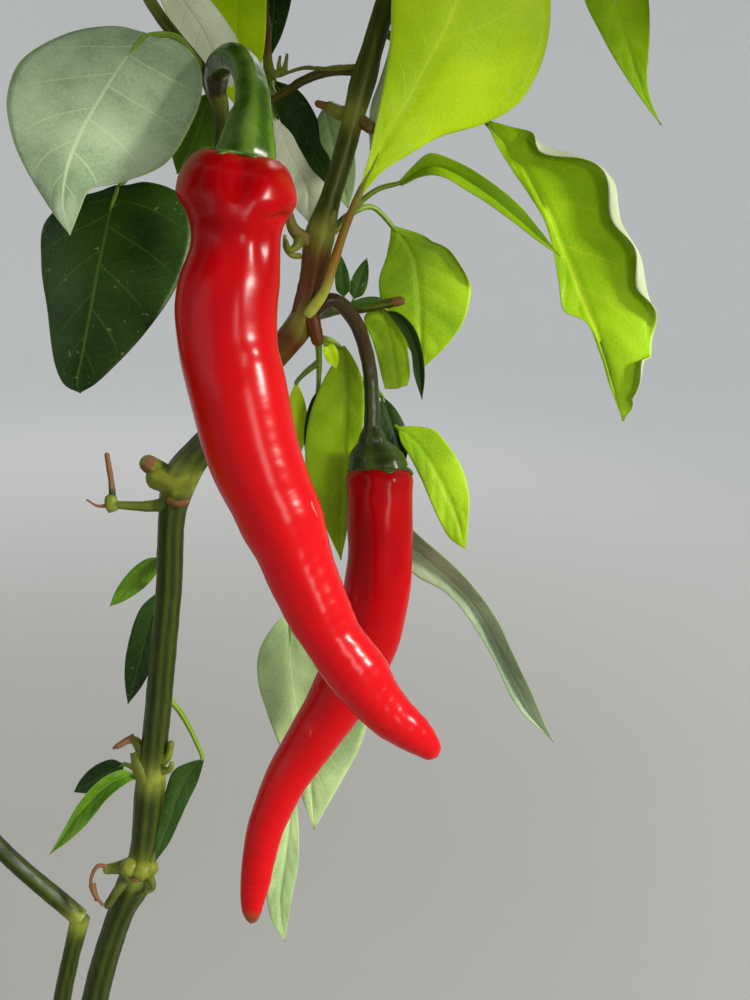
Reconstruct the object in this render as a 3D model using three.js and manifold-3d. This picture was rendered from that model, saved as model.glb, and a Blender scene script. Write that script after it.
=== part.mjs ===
// Chilli pepper plant: a rooted stem that forks, boughs, ripe hanging chillies and leafy masses.
// Lengths are in millimetres. +Z is up, and the origin is the centre of the flat cut at ground level.
import * as THREE from 'three';
import { mergeVertices } from 'three/addons/utils/BufferGeometryUtils.js';
import Module from 'manifold-3d';

const solidTool = await Module();
solidTool.setup();

// Driving dimensions.
const clearance = 0.3;
const footRadius = 9;
const stemRadius = 4.3;
const sideStemRadius = 3.3;
const forkHeight = 344;
const crownHeight = 640;
const leftBoughRadius = 2.6;
const rightBoughRadius = 3.9;
const thinBoughRadius = 2.0;
const frontChilliRadius = 14.6;
const secondChilliRadius = 11;
const youngChilliRadius = 9.5;
const youngChilliLength = 118;
const stalkRadius = 3.3;
const calyxReach = 10;
const calyxThickness = 1.3;
const leafThicknessShare = 1 / 80;
const petioleRadius = 1.1;

// The crown's growing rule: each mass has one stem that forks twice, with a leaf at each fork.
const crownStemLength = 8;
const crownTwigLength = 27;
const crownTwigRadius = 1.5;
const crownTwigShare = 0.82;
const crownTwigTaper = 0.8;
const crownForks = 2;
const crownForkAngle = 0.62;
const crownTuftLeaves = 3;
const crownAxis = { x: 90, y: 15 };
const crownReach = { x: 215, y: 185 };
const crownLeafApart = 13;
const crownLeafTries = 3;
const crownLeafLength = [60, 86];
const crownLeafShare = 0.5;
const crownPetioleLength = [9, 17];
const crownLeafDroop = 0.8;
const crownLeafFold = 0.22;
const sliverSize = 0.03;

// The one viewpoint from which the front of the plant was laid out, in front of it and a little above.
const eye = new THREE.Vector3(122, -262, 400);
const eyeTilt = THREE.MathUtils.degToRad(16.6);
const eyeFocus = 904;
const eyeMiddle = { across: 375, down: 500 };
const eyeForward = new THREE.Vector3(0, Math.cos(eyeTilt), -Math.sin(eyeTilt));
const eyeUp = new THREE.Vector3(0, Math.sin(eyeTilt), Math.cos(eyeTilt));
const toViewer = eyeForward.clone().negate();
const upward = new THREE.Vector3(0, 0, 1);

// A place on the plant by how it is seen: steps across and down the view, and its depth in mm.
function seen(across, down, depth) {
  return eye.clone()
    .addScaledVector(eyeForward, depth)
    .addScaledVector(new THREE.Vector3(1, 0, 0), depth * (across - eyeMiddle.across) / eyeFocus)
    .addScaledVector(eyeUp, -depth * (down - eyeMiddle.down) / eyeFocus);
}

// True where a place would show in that view, where only the leaves laid out by hand belong.
function inView(place, edge = 12) {
  const ray = place.clone().sub(eye);
  const depth = ray.dot(eyeForward);
  if (depth < 1) {
    return false;
  }
  const across = eyeMiddle.across + eyeFocus * ray.x / depth;
  const down = eyeMiddle.down - eyeFocus * ray.dot(eyeUp) / depth;
  const insideAcross = Math.abs(across - eyeMiddle.across) < eyeMiddle.across + edge;
  const insideDown = Math.abs(down - eyeMiddle.down) < eyeMiddle.down + edge;
  return insideAcross && insideDown;
}

function vector(x, y, z) {
  return new THREE.Vector3(x, y, z);
}

// The same run of numbers each time for one seed.
function seededRandom(seed) {
  let state = seed >>> 0;
  return () => {
    state = (state + 0x6d2b79f5) >>> 0;
    let mixed = Math.imul(state ^ (state >>> 15), 1 | state);
    mixed = (mixed + Math.imul(mixed ^ (mixed >>> 7), 61 | mixed)) ^ mixed;
    return ((mixed ^ (mixed >>> 14)) >>> 0) / 4294967296;
  };
}

// Closed three.js geometry to a solid that can be joined and cut, and back.
function toSolid(geometry) {
  geometry.deleteAttribute('normal');
  geometry.deleteAttribute('uv');
  const merged = mergeVertices(geometry, 1e-4);
  return new solidTool.Manifold(new solidTool.Mesh({
    numProp: 3,
    vertProperties: new Float32Array(merged.attributes.position.array),
    triVerts: new Uint32Array(merged.index.array),
  }));
}

function toGeometry(solid) {
  const mesh = solid.getMesh();
  const geometry = new THREE.BufferGeometry();
  geometry.setAttribute('position', new THREE.BufferAttribute(mesh.vertProperties, 3));
  geometry.setIndex(new THREE.BufferAttribute(mesh.triVerts, 1));
  geometry.computeVertexNormals();
  return geometry;
}

function fuse(pieces) {
  return pieces.reduce((whole, piece) => whole.add(piece));
}

// The biggest piece of a cut solid: slips that a cut leaves loose are dropped.
function mainPiece(solid) {
  const pieces = solid.decompose();
  return pieces.reduce((best, piece) => (piece.volume() > best.volume() ? piece : best));
}

// Half widths along a piece, smooth between stations of [share of the length, half width].
function halfWidths(stations) {
  return (along) => {
    let index = 0;
    while (index < stations.length - 2 && along > stations[index + 1][0]) {
      index += 1;
    }
    const [from, before] = stations[index];
    const [to, after] = stations[index + 1];
    return THREE.MathUtils.lerp(before, after, THREE.MathUtils.smoothstep(along, from, to));
  };
}

// A round tapering limb along a smooth line of points, closed by flat ends.
function limb(points, radiusAt, { sides = 8, steps = 10, grow = 0 } = {}) {
  const line = new THREE.CatmullRomCurve3(points, false, 'centripetal');
  const frames = line.computeFrenetFrames(steps, false);
  const geometry = new THREE.CylinderGeometry(1, 1, 1, sides, steps);
  const place = geometry.attributes.position;
  for (let index = 0; index < place.count; index += 1) {
    const station = Math.round((place.getY(index) + 0.5) * steps);
    const along = station / steps;
    const radius = radiusAt(along) + grow;
    const reach = (station === steps) - (station === 0);
    const spot = line.getPointAt(along)
      .addScaledVector(frames.normals[station], place.getX(index) * radius)
      .addScaledVector(frames.binormals[station], -place.getZ(index) * radius)
      .addScaledVector(frames.tangents[station], reach * grow);
    place.setXYZ(index, spot.x, spot.y, spot.z);
  }
  return toSolid(geometry);
}

// A leaf blade: a ball drawn out from base to tip, pressed flat to a leaf's outline and bent.
// face is the way its upper side looks, sway bends it sideways and bow lifts its middle, fold raises
// its margins, and halves weighs one side of the midrib against the other. belly is the share of the
// length at which it is widest, and point is how finely it runs out to its tip.
function blade(leaf) {
  const {
    base, tip, width, face = toViewer, sway = 0, bow = 0, fold = 0.12,
    belly = 0.36, point = 1.15, halves = [1, 1], rows = 7,
  } = leaf;
  const columns = 4;
  const along = tip.clone().sub(base);
  const length = along.length();
  along.normalize();
  const side = face.clone().cross(along).normalize();
  const upper = along.clone().cross(side);
  const middle = base.clone().add(tip).multiplyScalar(0.5)
    .addScaledVector(side, 2 * sway)
    .addScaledVector(upper, 2 * bow);
  const rib = new THREE.QuadraticBezierCurve3(base, middle, tip);
  const rise = point * belly / (1 - belly);
  const widest = belly ** rise * (1 - belly) ** point;
  const geometry = new THREE.SphereGeometry(1, columns, rows);
  const place = geometry.attributes.position;
  for (let index = 0; index < place.count; index += 1) {
    const share = Math.acos(THREE.MathUtils.clamp(place.getY(index), -1, 1)) / Math.PI;
    const ring = Math.hypot(place.getX(index), place.getZ(index));
    const pole = ring < 1e-6;
    const across = pole ? 0 : place.getX(index) / ring;
    const above = pole ? 0 : place.getZ(index) / ring;
    const half = 0.5 * width * (share ** rise * (1 - share) ** point) / widest * halves[across < 0 ? 0 : 1];
    const tangent = rib.getTangent(share);
    const outward = upper.clone().cross(tangent).normalize();
    const normal = tangent.clone().cross(outward);
    const lift = fold * Math.abs(across) * half;
    const thickness = 0.5 * length * leafThicknessShare * above;
    const spot = rib.getPoint(share)
      .addScaledVector(outward, across * half)
      .addScaledVector(normal, lift + thickness);
    place.setXYZ(index, spot.x, spot.y, spot.z);
  }
  return toSolid(geometry);
}

// A leaf on its petiole: the petiole's last point lies a little inside the blade.
function stalkedLeaf(leaf) {
  const { petiole, base, tip, petioleRadius: radius = petioleRadius } = leaf;
  const inside = base.clone().lerp(tip, 0.06);
  const line = [...petiole, base, inside];
  const stem = limb(line, () => radius, { sides: 4, steps: line.length - 1 });
  return stem.add(blade(leaf));
}

// A crown leaf in few faces: a petiole that opens from a point in its twig to the blade's base.
function crownLeafSolid({ root, base, tip, face, width, bow }) {
  const along = tip.clone().sub(base);
  const side = face.clone().cross(along).normalize();
  const upper = along.clone().cross(side).normalize();
  const lift = upper.clone().multiplyScalar(bow);
  const thick = along.length() * leafThicknessShare;
  const widest = { at: 0.34, half: 0.5 * width };
  const beforeTip = { at: 0.72, half: 0.31 * width };
  const rings = [
    { middle: root, half: 0, thick: 0 },
    { middle: base, half: petioleRadius, thick: petioleRadius },
    { middle: base.clone().lerp(tip, widest.at).add(lift), half: widest.half, thick },
    { middle: base.clone().lerp(tip, beforeTip.at).add(lift), half: beforeTip.half, thick },
    { middle: tip, half: 0, thick: 0 },
  ];
  const geometry = new THREE.SphereGeometry(1, 4, rings.length - 1);
  const place = geometry.attributes.position;
  for (let index = 0; index < place.count; index += 1) {
    const share = Math.acos(THREE.MathUtils.clamp(place.getY(index), -1, 1)) / Math.PI;
    const ring = rings[Math.round(share * (rings.length - 1))];
    const across = Math.sign(Math.round(place.getX(index)));
    const above = Math.sign(Math.round(place.getZ(index) * 2));
    const fold = across === 0 ? 0 : crownLeafFold * ring.half;
    const spot = ring.middle.clone()
      .addScaledVector(side, across * ring.half)
      .addScaledVector(upper, fold + 0.5 * ring.thick * (across === 0 ? above : 0));
    place.setXYZ(index, spot.x, spot.y, spot.z);
  }
  return toSolid(geometry);
}

// A chilli's body along its line, with a lobed shoulder under the calyx.
function chilliBody({ line, profile, lobes = 0, sides, rows }, grow = 0) {
  const curve = new THREE.CatmullRomCurve3(line, false, 'centripetal');
  const fineSteps = 200;
  const frames = curve.computeFrenetFrames(fineSteps, false);
  const radiusAt = halfWidths(profile);
  const lobeReach = 0.14;
  const lobeTurn = 0.6;
  const geometry = new THREE.SphereGeometry(1, sides, rows);
  const place = geometry.attributes.position;
  for (let index = 0; index < place.count; index += 1) {
    const along = (1 - place.getY(index)) / 2;
    const ring = Math.hypot(place.getX(index), place.getZ(index));
    const turn = Math.atan2(place.getZ(index), place.getX(index));
    const swell = 1 + lobes * Math.cos(3 * turn + lobeTurn) * Math.exp(-((along / lobeReach) ** 2));
    const radius = ring < 1e-6 ? 0 : (radiusAt(along) * swell + grow) / ring;
    const frame = Math.round(along * fineSteps);
    const reach = ring < 1e-6 ? Math.sign(along - 0.5) : 0;
    const spot = curve.getPointAt(along)
      .addScaledVector(frames.normals[frame], place.getX(index) * radius)
      .addScaledVector(frames.binormals[frame], place.getZ(index) * radius)
      .addScaledVector(frames.tangents[frame], reach * grow);
    place.setXYZ(index, spot.x, spot.y, spot.z);
  }
  return toSolid(geometry);
}

// A star-edged punch that stands on the top of a chilli and gives the calyx its points.
function calyxPunch(top, direction, reach) {
  const points = 6;
  const valley = 0.78;
  const star = new THREE.Shape();
  for (let corner = 0; corner < 2 * points; corner += 1) {
    const radius = reach * (corner % 2 ? valley : 1);
    const turn = corner * Math.PI / points;
    const move = corner === 0 ? 'moveTo' : 'lineTo';
    star[move](radius * Math.cos(turn), radius * Math.sin(turn));
  }
  star.closePath();
  const depth = 0.9 * reach;
  const aboveTop = 0.35 * depth;
  const geometry = new THREE.ExtrudeGeometry(star, { depth, bevelEnabled: false });
  geometry.translate(0, 0, -aboveTop);
  geometry.applyQuaternion(new THREE.Quaternion().setFromUnitVectors(upward, direction));
  geometry.translate(top.x, top.y, top.z);
  return toSolid(geometry);
}

// A plain stalk that flares to its calyx, for the chillies on the far sides.
function plainStalk(chilli, carrier) {
  const { stalk, radius } = chilli;
  const top = chilli.line[0];
  const inside = top.clone().lerp(chilli.line[1], 0.08);
  const thickness = halfWidths([[0, radius], [0.7, radius], [0.88, radius * 1.4], [1, radius * 3]]);
  const stem = limb([...stalk, top, inside], thickness, { sides: 6, steps: 8 });
  return mainPiece(stem.subtract(chilliBody(chilli, clearance)).subtract(carrier));
}

// A chilli's stalk with its calyx, which sits on the body's shoulder with a fine gap.
function chilliStalk(chilli, carrier) {
  const { stalk, reach, radius } = chilli;
  const top = chilli.line[0];
  const direction = chilli.line[1].clone().sub(top).normalize();
  const inside = top.clone().addScaledVector(direction, 2);
  const thickness = halfWidths([
    [0, radius * 1.05], [0.2, radius * 0.95], [0.75, radius * 1.1], [1, radius * 1.7],
  ]);
  const stem = limb([...stalk, top, inside], thickness, { sides: 8, steps: 10 });
  const cap = chilliBody(chilli, clearance + calyxThickness).intersect(calyxPunch(top, direction, reach));
  return mainPiece(stem.add(cap).subtract(chilliBody(chilli, clearance)).subtract(carrier));
}

// The limbs, in the order in which one gives way to another. Each has its line, half widths and parents.
const stemFork = vector(77, 8, forkHeight);
const lowNode = seen(140, 865, 311);
const middleNode = seen(152, 770, 304);
const topNode = seen(180, 480, 277);
const leftNode = seen(218, 98, 262);
const leftTop = seen(150, 0, 262);
const rightLowNode = seen(303, 318, 268);
const rightNode = seen(320, 235, 262);
const rightTop = seen(387, 0, 252);
const rearLow = seen(274, 130, 290);
const rearNode = seen(268, 68, 295);
const rearTop = seen(264, 0, 300);
const leftBoughTip = vector(42, 36, 500);
const rightBoughTip = vector(140, 24, 502);
const rearBoughTip = vector(86, 100, 518);
const sideFork = seen(80, 918, 315);
const sideArmTip = vector(-38, -2, 262);

const limbPlans = {
  main_stem: {
    line: [
      vector(0, 0, -6), vector(0, 0, 6), vector(6, 0, 50), seen(95, 1000, 323), seen(118, 920, 316),
      lowNode, middleNode, seen(168, 600, 288), topNode, stemFork,
    ],
    widths: [
      [0, footRadius * 1.15], [0.03, footRadius * 0.85], [0.09, 5.9], [0.3, stemRadius * 1.08],
      [0.5, stemRadius], [0.535, stemRadius * 1.3], [0.57, stemRadius], [0.63, stemRadius * 1.15],
      [0.68, stemRadius * 0.97], [0.9, stemRadius * 0.92], [0.94, stemRadius * 1.2], [0.97, stemRadius],
      [0.99, stemRadius], [1, 2.6],
    ],
    sides: 10,
    steps: 18,
    parents: [],
  },
  side_stem: {
    line: [vector(5, 0, 42), vector(-2, -4, 70), seen(62, 1000, 320), sideFork],
    widths: [
      [0, sideStemRadius * 1.2], [0.2, sideStemRadius], [0.9, sideStemRadius * 0.9], [1, sideStemRadius],
    ],
    steps: 8,
    parents: ['main_stem'],
  },
  side_arm: {
    line: [sideFork, seen(0, 848, 305), vector(-22, -3, 232), sideArmTip],
    widths: [[0, sideStemRadius * 0.9], [1, thinBoughRadius]],
    steps: 6,
    parents: ['side_stem'],
  },
  right_bough: {
    line: [
      stemFork, seen(285, 345, 272), rightLowNode, rightNode, seen(345, 150, 258), seen(362, 85, 255),
      rightTop, rightBoughTip,
    ],
    widths: [
      [0, rightBoughRadius * 0.9], [0.1, rightBoughRadius * 0.8], [0.2, rightBoughRadius * 1.1],
      [0.28, rightBoughRadius * 0.85], [0.36, rightBoughRadius * 1.15], [0.44, rightBoughRadius * 0.78],
      [0.56, rightBoughRadius * 0.8], [0.62, rightBoughRadius * 0.95], [0.68, rightBoughRadius * 0.8],
      [1, rightBoughRadius * 0.7],
    ],
    steps: 14,
    parents: ['main_stem'],
  },
  left_bough: {
    line: [stemFork, vector(76, 13, 380), vector(77, 18, 415), leftNode, leftTop, leftBoughTip],
    widths: [
      [0, leftBoughRadius], [0.3, leftBoughRadius * 0.8], [0.52, leftBoughRadius * 0.78],
      [0.57, leftBoughRadius * 1.1], [0.63, leftBoughRadius * 0.68], [1, leftBoughRadius * 0.65],
    ],
    steps: 12,
    parents: ['main_stem', 'right_bough'],
  },
  rear_bough: {
    line: [stemFork, seen(252, 231, 282), rearLow, rearNode, rearTop, rearBoughTip],
    widths: [
      [0, thinBoughRadius], [0.55, 1.6], [0.64, 1.6], [0.68, 2.1], [0.72, 1.5], [1, 1.5],
    ],
    steps: 11,
    parents: ['main_stem', 'right_bough', 'left_bough'],
  },
  left_outer_bough: {
    line: [vector(50, 33, 482), vector(26, 30, 497), vector(-6, 24, 505), vector(-34, 20, 510)],
    widths: [[0, thinBoughRadius * 0.8], [1, 1.5]],
    steps: 6,
    parents: ['left_bough'],
  },
  left_front_bough: {
    line: [vector(54, 31, 472), vector(48, 10, 490), vector(40, -20, 502), vector(34, -48, 510)],
    widths: [[0, thinBoughRadius * 0.8], [1, 1.5]],
    steps: 6,
    parents: ['left_bough', 'left_outer_bough'],
  },
  right_outer_bough: {
    line: [vector(131, 20, 479), vector(156, 8, 495), vector(184, -6, 503), vector(206, -14, 508)],
    widths: [[0, thinBoughRadius], [1, 1.5]],
    steps: 6,
    parents: ['right_bough'],
  },
  right_front_bough: {
    line: [vector(126, 19, 465), vector(132, -2, 488), vector(142, -30, 502), vector(150, -58, 510)],
    widths: [[0, thinBoughRadius], [1, 1.5]],
    steps: 6,
    parents: ['right_bough', 'right_outer_bough'],
  },
  rear_left_bough: {
    line: [vector(85, 78, 480), vector(66, 92, 494), vector(42, 106, 501), vector(20, 116, 505)],
    widths: [[0, thinBoughRadius * 0.75], [1, 1.4]],
    steps: 6,
    parents: ['rear_bough'],
  },
  rear_right_bough: {
    line: [vector(86, 86, 494), vector(106, 98, 502), vector(134, 110, 506), vector(156, 118, 508)],
    widths: [[0, thinBoughRadius * 0.75], [1, 1.4]],
    steps: 6,
    parents: ['rear_bough', 'rear_left_bough'],
  },
};

function makeLimb(name, grow = 0) {
  const { line, widths, sides = 7, steps } = limbPlans[name];
  return limb(line, halfWidths(widths), { sides, steps, grow });
}

function cutLimb(name) {
  const cut = limbPlans[name].parents.reduce(
    (solid, parent) => solid.subtract(makeLimb(parent, clearance)),
    makeLimb(name),
  );
  return mainPiece(cut);
}

// The cut and dried stubs that old side shoots left on the main stem, fused to it.
function mainStemStubs() {
  const stub = (line, from, to) => {
    const widths = halfWidths([[0, from], [1, to]]);
    return limb(line, widths, { sides: 6, steps: line.length });
  };
  return [
    stub([topNode, seen(166, 474, 277), seen(149, 464, 276)], 3, 2.4),
    stub([topNode, seen(165, 503, 277), seen(110, 505, 274)], 2.2, 1.3),
    stub([seen(112, 509, 274), seen(112, 488, 274), seen(107, 455, 273)], 1.4, 0.7),
    stub([lowNode, seen(108, 869, 309)], 3.2, 2),
    stub([middleNode, seen(133, 740, 302)], 2.4, 1.2),
  ];
}

function mainStem() {
  const whole = fuse([makeLimb('main_stem'), ...mainStemStubs()]);
  return whole.trimByPlane([0, 0, 1], 0);
}

// The chillies: two ripe ones in front, and three more round the far sides of the plant.
const frontChilli = {
  line: [
    seen(234, 149, 224), seen(236, 191, 223), seen(236, 232, 223), seen(227, 310, 224), seen(239, 400, 226),
    seen(262, 480, 229), seen(294, 560, 233), seen(322, 622, 236), seen(368, 690, 240), seen(414, 738, 244),
    seen(438, 755, 245),
  ],
  profile: [
    [0, 5], [0.004, 7.5], [0.02, 11.6], [0.055, frontChilliRadius], [0.13, 11.1], [0.24, 12.8], [0.36, 12.4],
    [0.5, 11.4], [0.62, 9.6], [0.74, 8], [0.86, 6.6], [0.94, 5.2], [0.985, 3.4], [1, 1.4],
  ],
  lobes: 0.07,
  sides: 14,
  rows: 20,
  stalk: [
    leftNode, seen(216, 72, 256), seen(228, 56, 248), seen(243, 62, 240), seen(252, 86, 232),
    seen(250, 116, 226),
  ],
  carrier: 'left_bough',
  reach: calyxReach,
  radius: stalkRadius,
  makeStalk: chilliStalk,
};
const secondChilli = {
  line: [
    seen(378, 466, 289), seen(380, 500, 288), seen(381, 540, 290), seen(374, 600, 295), seen(352, 660, 300),
    seen(318, 715, 303), seen(288, 765, 306), seen(266, 820, 308), seen(257, 870, 309), seen(252, 920, 310),
  ],
  profile: [
    [0, 5], [0.004, 6.5], [0.02, 9.2], [0.06, 10.4], [0.14, 10.4], [0.3, secondChilliRadius], [0.45, 10.6],
    [0.6, 9.6], [0.74, 8.2], [0.86, 6.4], [0.94, 4.8], [0.985, 3], [1, 1.2],
  ],
  lobes: 0.04,
  sides: 12,
  rows: 18,
  stalk: [
    rightLowNode, seen(336, 303, 268), seen(352, 318, 273), seen(363, 340, 277), seen(371, 375, 282),
    seen(373, 425, 287),
  ],
  carrier: 'right_bough',
  reach: 0.9 * calyxReach,
  radius: 2.4,
  makeStalk: chilliStalk,
};

// A chilli that hangs where it isn't laid out by hand: from its shoulder straight down to its tip.
function youngChilli(shoulder, tipShift, stalk, carrier) {
  const tip = shoulder.clone().add(tipShift).setZ(shoulder.z - youngChilliLength);
  const belly = shoulder.clone().lerp(tip, 0.45).addScaledVector(tipShift, -0.35);
  const profile = [
    [0, 4.5], [0.004, 5.5], [0.03, 8.2], [0.08, youngChilliRadius], [0.3, youngChilliRadius * 0.95],
    [0.6, youngChilliRadius * 0.8], [0.85, youngChilliRadius * 0.52], [0.97, youngChilliRadius * 0.28],
    [1, 0.9],
  ];
  return {
    line: [shoulder, belly, tip],
    profile,
    sides: 8,
    rows: 11,
    stalk,
    carrier,
    radius: 2,
    makeStalk: plainStalk,
  };
}

const chillies = {
  front_chilli: frontChilli,
  second_chilli: secondChilli,
  left_chilli: youngChilli(
    vector(-24, -6, 478),
    vector(-8, -6, 0),
    [vector(-14, 23, 507), vector(-18, 10, 511), vector(-23, -3, 502)],
    'left_outer_bough',
  ),
  right_chilli: youngChilli(
    vector(224, -38, 478),
    vector(8, 4, 0),
    [vector(196, -11, 506), vector(206, -24, 511), vector(220, -36, 502)],
    'right_outer_bough',
  ),
  rear_chilli: youngChilli(
    vector(71, 113, 428),
    vector(3, 6, 0),
    [vector(86, 80, 484), vector(80, 96, 484), vector(72, 110, 462)],
    'rear_bough',
  ),
};

// The leaves in front, in groups that each hang on one short twig. A group may carry bare twigs too.
const faceUp = vector(0, -0.35, 0.94);
const faceRight = vector(0.6, -0.72, 0.34);
const faceLeft = vector(-0.5, -0.8, 0.34);
const frontGroups = {
  left_front_leaves: {
    carriers: ['left_bough'],
    leaves: [
      {
        petiole: [seen(207, 80, 264), seen(190, 52, 256), seen(174, 36, 248)],
        base: seen(164, 32, 243),
        tip: seen(70, 234, 226),
        width: 49,
        sway: -7,
        bow: 4,
        belly: 0.42,
        point: 0.75,
      },
      {
        petiole: [seen(192, 55, 257), seen(165, 110, 262), seen(134, 168, 258)],
        base: seen(122, 186, 253),
        tip: seen(75, 386, 240),
        width: 41,
        sway: 1,
        bow: 5,
        belly: 0.32,
        point: 0.95,
      },
    ],
  },
  upper_left_leaf: {
    carriers: ['left_bough', 'left_front_bough', 'left_outer_bough'],
    leaves: [
      {
        petiole: [seen(138, -30, 262), seen(146, -48, 270)],
        base: seen(152, -56, 274),
        tip: seen(216, 62, 268),
        width: 24,
      },
    ],
  },
  upper_rear_leaves: {
    carriers: ['rear_bough'],
    leaves: [
      {
        petiole: [seen(262, -52, 304), seen(250, -78, 300)],
        base: seen(240, -88, 297),
        tip: seen(240, 112, 284),
        width: 21,
      },
      {
        petiole: [seen(262, -52, 304), seen(272, -70, 308)],
        base: seen(280, -68, 310),
        tip: seen(270, 58, 312),
        width: 12,
      },
    ],
  },
  centre_leaves: {
    carriers: ['right_bough', 'rear_bough'],
    twig: [
      seen(364, 70, 255), seen(330, 71, 262), seen(304, 80, 270), seen(288, 90, 274), seen(264, 104, 276),
    ],
    twigRadius: 1.2,
    leaves: [
      {
        petiole: [seen(276, 97, 275), seen(272, 88, 279)],
        base: seen(274, 84, 282),
        tip: seen(334, 190, 290),
        width: 16,
        sway: 2,
        face: faceLeft,
      },
      {
        petiole: [seen(268, 102, 276), seen(270, 112, 276)],
        base: seen(273, 118, 276),
        tip: seen(312, 226, 272),
        width: 20,
        sway: 2,
      },
    ],
  },
  leaf_behind_bough: {
    carriers: ['right_bough'],
    leaves: [
      {
        petiole: [seen(354, 122, 257), seen(346, 114, 278), seen(334, 110, 290)],
        base: seen(324, 112, 294),
        tip: seen(350, 206, 298),
        width: 14,
      },
    ],
  },
  great_upper_leaf: {
    carriers: ['right_bough'],
    leaves: [
      {
        petiole: [
          seen(308, 314, 265), seen(324, 292, 260), seen(334, 262, 258), seen(346, 226, 257),
          seen(358, 192, 256),
        ],
        petioleRadius: 1.5,
        base: seen(366, 172, 255),
        tip: seen(500, -118, 228),
        width: 42,
        belly: 0.42,
        point: 0.95,
        halves: [1.32, 0.72],
        fold: -0.12,
      },
    ],
  },
  far_upper_leaf: {
    carriers: ['right_bough', 'right_outer_bough', 'right_front_bough'],
    leaves: [
      {
        petiole: [seen(394, -30, 251), seen(470, -95, 244), seen(560, -120, 240)],
        base: seen(604, -108, 240),
        tip: seen(656, 118, 240),
        width: 19,
        sway: 2,
        belly: 0.42,
      },
    ],
  },
  upper_right_leaf: {
    carriers: ['right_bough'],
    leaves: [
      {
        petiole: [seen(378, 28, 253), seen(424, 60, 262), seen(466, 102, 266)],
        base: seen(488, 122, 264),
        tip: seen(625, 420, 250),
        width: 39,
        sway: 4,
        bow: 3,
        halves: [0.4, 1.45],
        belly: 0.46,
        point: 1,
        face: faceRight,
      },
    ],
  },
  middle_right_leaves: {
    carriers: ['right_bough'],
    leaves: [
      {
        petiole: [seen(318, 238, 262), seen(338, 228, 264), seen(356, 206, 264), seen(378, 189, 263)],
        base: seen(399, 180, 262),
        tip: seen(560, 256, 247),
        width: 24,
        bow: 3,
        face: faceUp,
        fold: 0.3,
      },
      {
        petiole: [seen(334, 231, 264), seen(347, 216, 268), seen(372, 207, 274)],
        base: seen(397, 222, 278),
        tip: seen(423, 366, 296),
        width: 27,
        sway: 4,
        belly: 0.4,
        point: 0.9,
      },
    ],
  },
  fork_right_leaves: {
    carriers: ['right_bough'],
    twig: [rightLowNode, seen(322, 312, 277), seen(340, 308, 281), seen(368, 306, 281), seen(399, 301, 281)],
    twigRadius: 1.7,
    leaves: [
      {
        petiole: [seen(372, 305, 281), seen(376, 308, 284)],
        base: seen(379, 313, 285),
        tip: seen(397, 395, 286),
        width: 15,
        belly: 0.55,
        point: 0.6,
      },
      {
        petiole: [seen(384, 303, 281), seen(389, 306, 281)],
        base: seen(394, 311, 281),
        tip: seen(425, 401, 283),
        width: 12,
        bow: 4,
        face: vector(0.9, -0.3, 0.3),
      },
      {
        petiole: [seen(342, 308, 281), seen(344, 302, 281)],
        base: seen(344, 296, 281),
        tip: seen(341, 256, 281),
        width: 4.5,
        rows: 4,
      },
      {
        petiole: [seen(351, 307, 281), seen(353, 302, 281)],
        base: seen(354, 298, 281),
        tip: seen(366, 260, 282),
        width: 5,
        rows: 4,
      },
    ],
  },
  low_right_leaves: {
    carriers: ['right_bough'],
    leaves: [
      {
        petiole: [
          seen(300, 328, 270), seen(318, 338, 280), seen(345, 358, 300), seen(370, 392, 304),
          seen(388, 414, 300),
        ],
        base: seen(398, 427, 298),
        tip: seen(467, 551, 292),
        width: 25,
        sway: 3,
        belly: 0.45,
        face: faceRight,
        halves: [0.6, 1.1],
      },
      {
        petiole: [seen(345, 358, 300), seen(352, 400, 312), seen(368, 460, 316)],
        base: seen(386, 500, 314),
        tip: seen(553, 742, 288),
        width: 18,
        sway: 4,
        bow: 4,
        face: vector(0.6, -0.12, 0.79),
        fold: 0.3,
      },
      {
        petiole: [seen(318, 338, 280), seen(334, 340, 285), seen(342, 353, 289)],
        base: seen(345, 366, 290),
        tip: seen(340, 562, 306),
        width: 19,
        sway: -2,
        belly: 0.34,
        point: 0.9,
      },
    ],
  },
  hanging_back_leaves: {
    carriers: ['main_stem', 'right_bough', 'left_bough', 'rear_bough'],
    leaves: [
      {
        petiole: [seen(226, 430, 276), seen(262, 470, 296), seen(282, 540, 316), seen(286, 592, 325)],
        base: seen(288, 612, 327),
        tip: seen(313, 830, 322),
        width: 35,
        sway: 5,
        bow: -3,
        belly: 0.4,
        point: 0.95,
      },
      {
        petiole: [seen(284, 570, 322), seen(294, 640, 338), seen(298, 740, 338)],
        base: seen(293, 790, 334),
        tip: seen(285, 943, 328),
        width: 12,
      },
    ],
  },
  low_left_leaves: {
    carriers: ['main_stem'],
    leaves: [
      {
        petiole: [seen(152, 776, 304), seen(144, 777, 303)],
        base: seen(136, 777, 302),
        tip: seen(50, 852, 294),
        width: 17,
        bow: 3,
        face: vector(-0.5, -0.3, 0.8),
        fold: 0.3,
      },
      {
        petiole: [seen(146, 777, 303), seen(134, 768, 308)],
        base: seen(124, 764, 312),
        tip: seen(74, 792, 318),
        width: 11,
        rows: 5,
      },
    ],
  },
  low_stem_leaves: {
    carriers: ['main_stem'],
    leaves: [
      {
        petiole: [seen(160, 690, 297), seen(180, 712, 304), seen(196, 742, 308)],
        base: seen(201, 757, 309),
        tip: seen(157, 860, 306),
        width: 17,
        sway: 2,
      },
    ],
  },
  behind_stem_leaves: {
    carriers: ['main_stem'],
    leaves: [
      {
        petiole: [seen(170, 566, 286), seen(170, 574, 296), seen(164, 582, 300)],
        base: seen(158, 592, 301),
        tip: seen(128, 702, 304),
        width: 16,
      },
      {
        petiole: [seen(170, 574, 296), seen(166, 562, 300)],
        base: seen(160, 557, 302),
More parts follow.
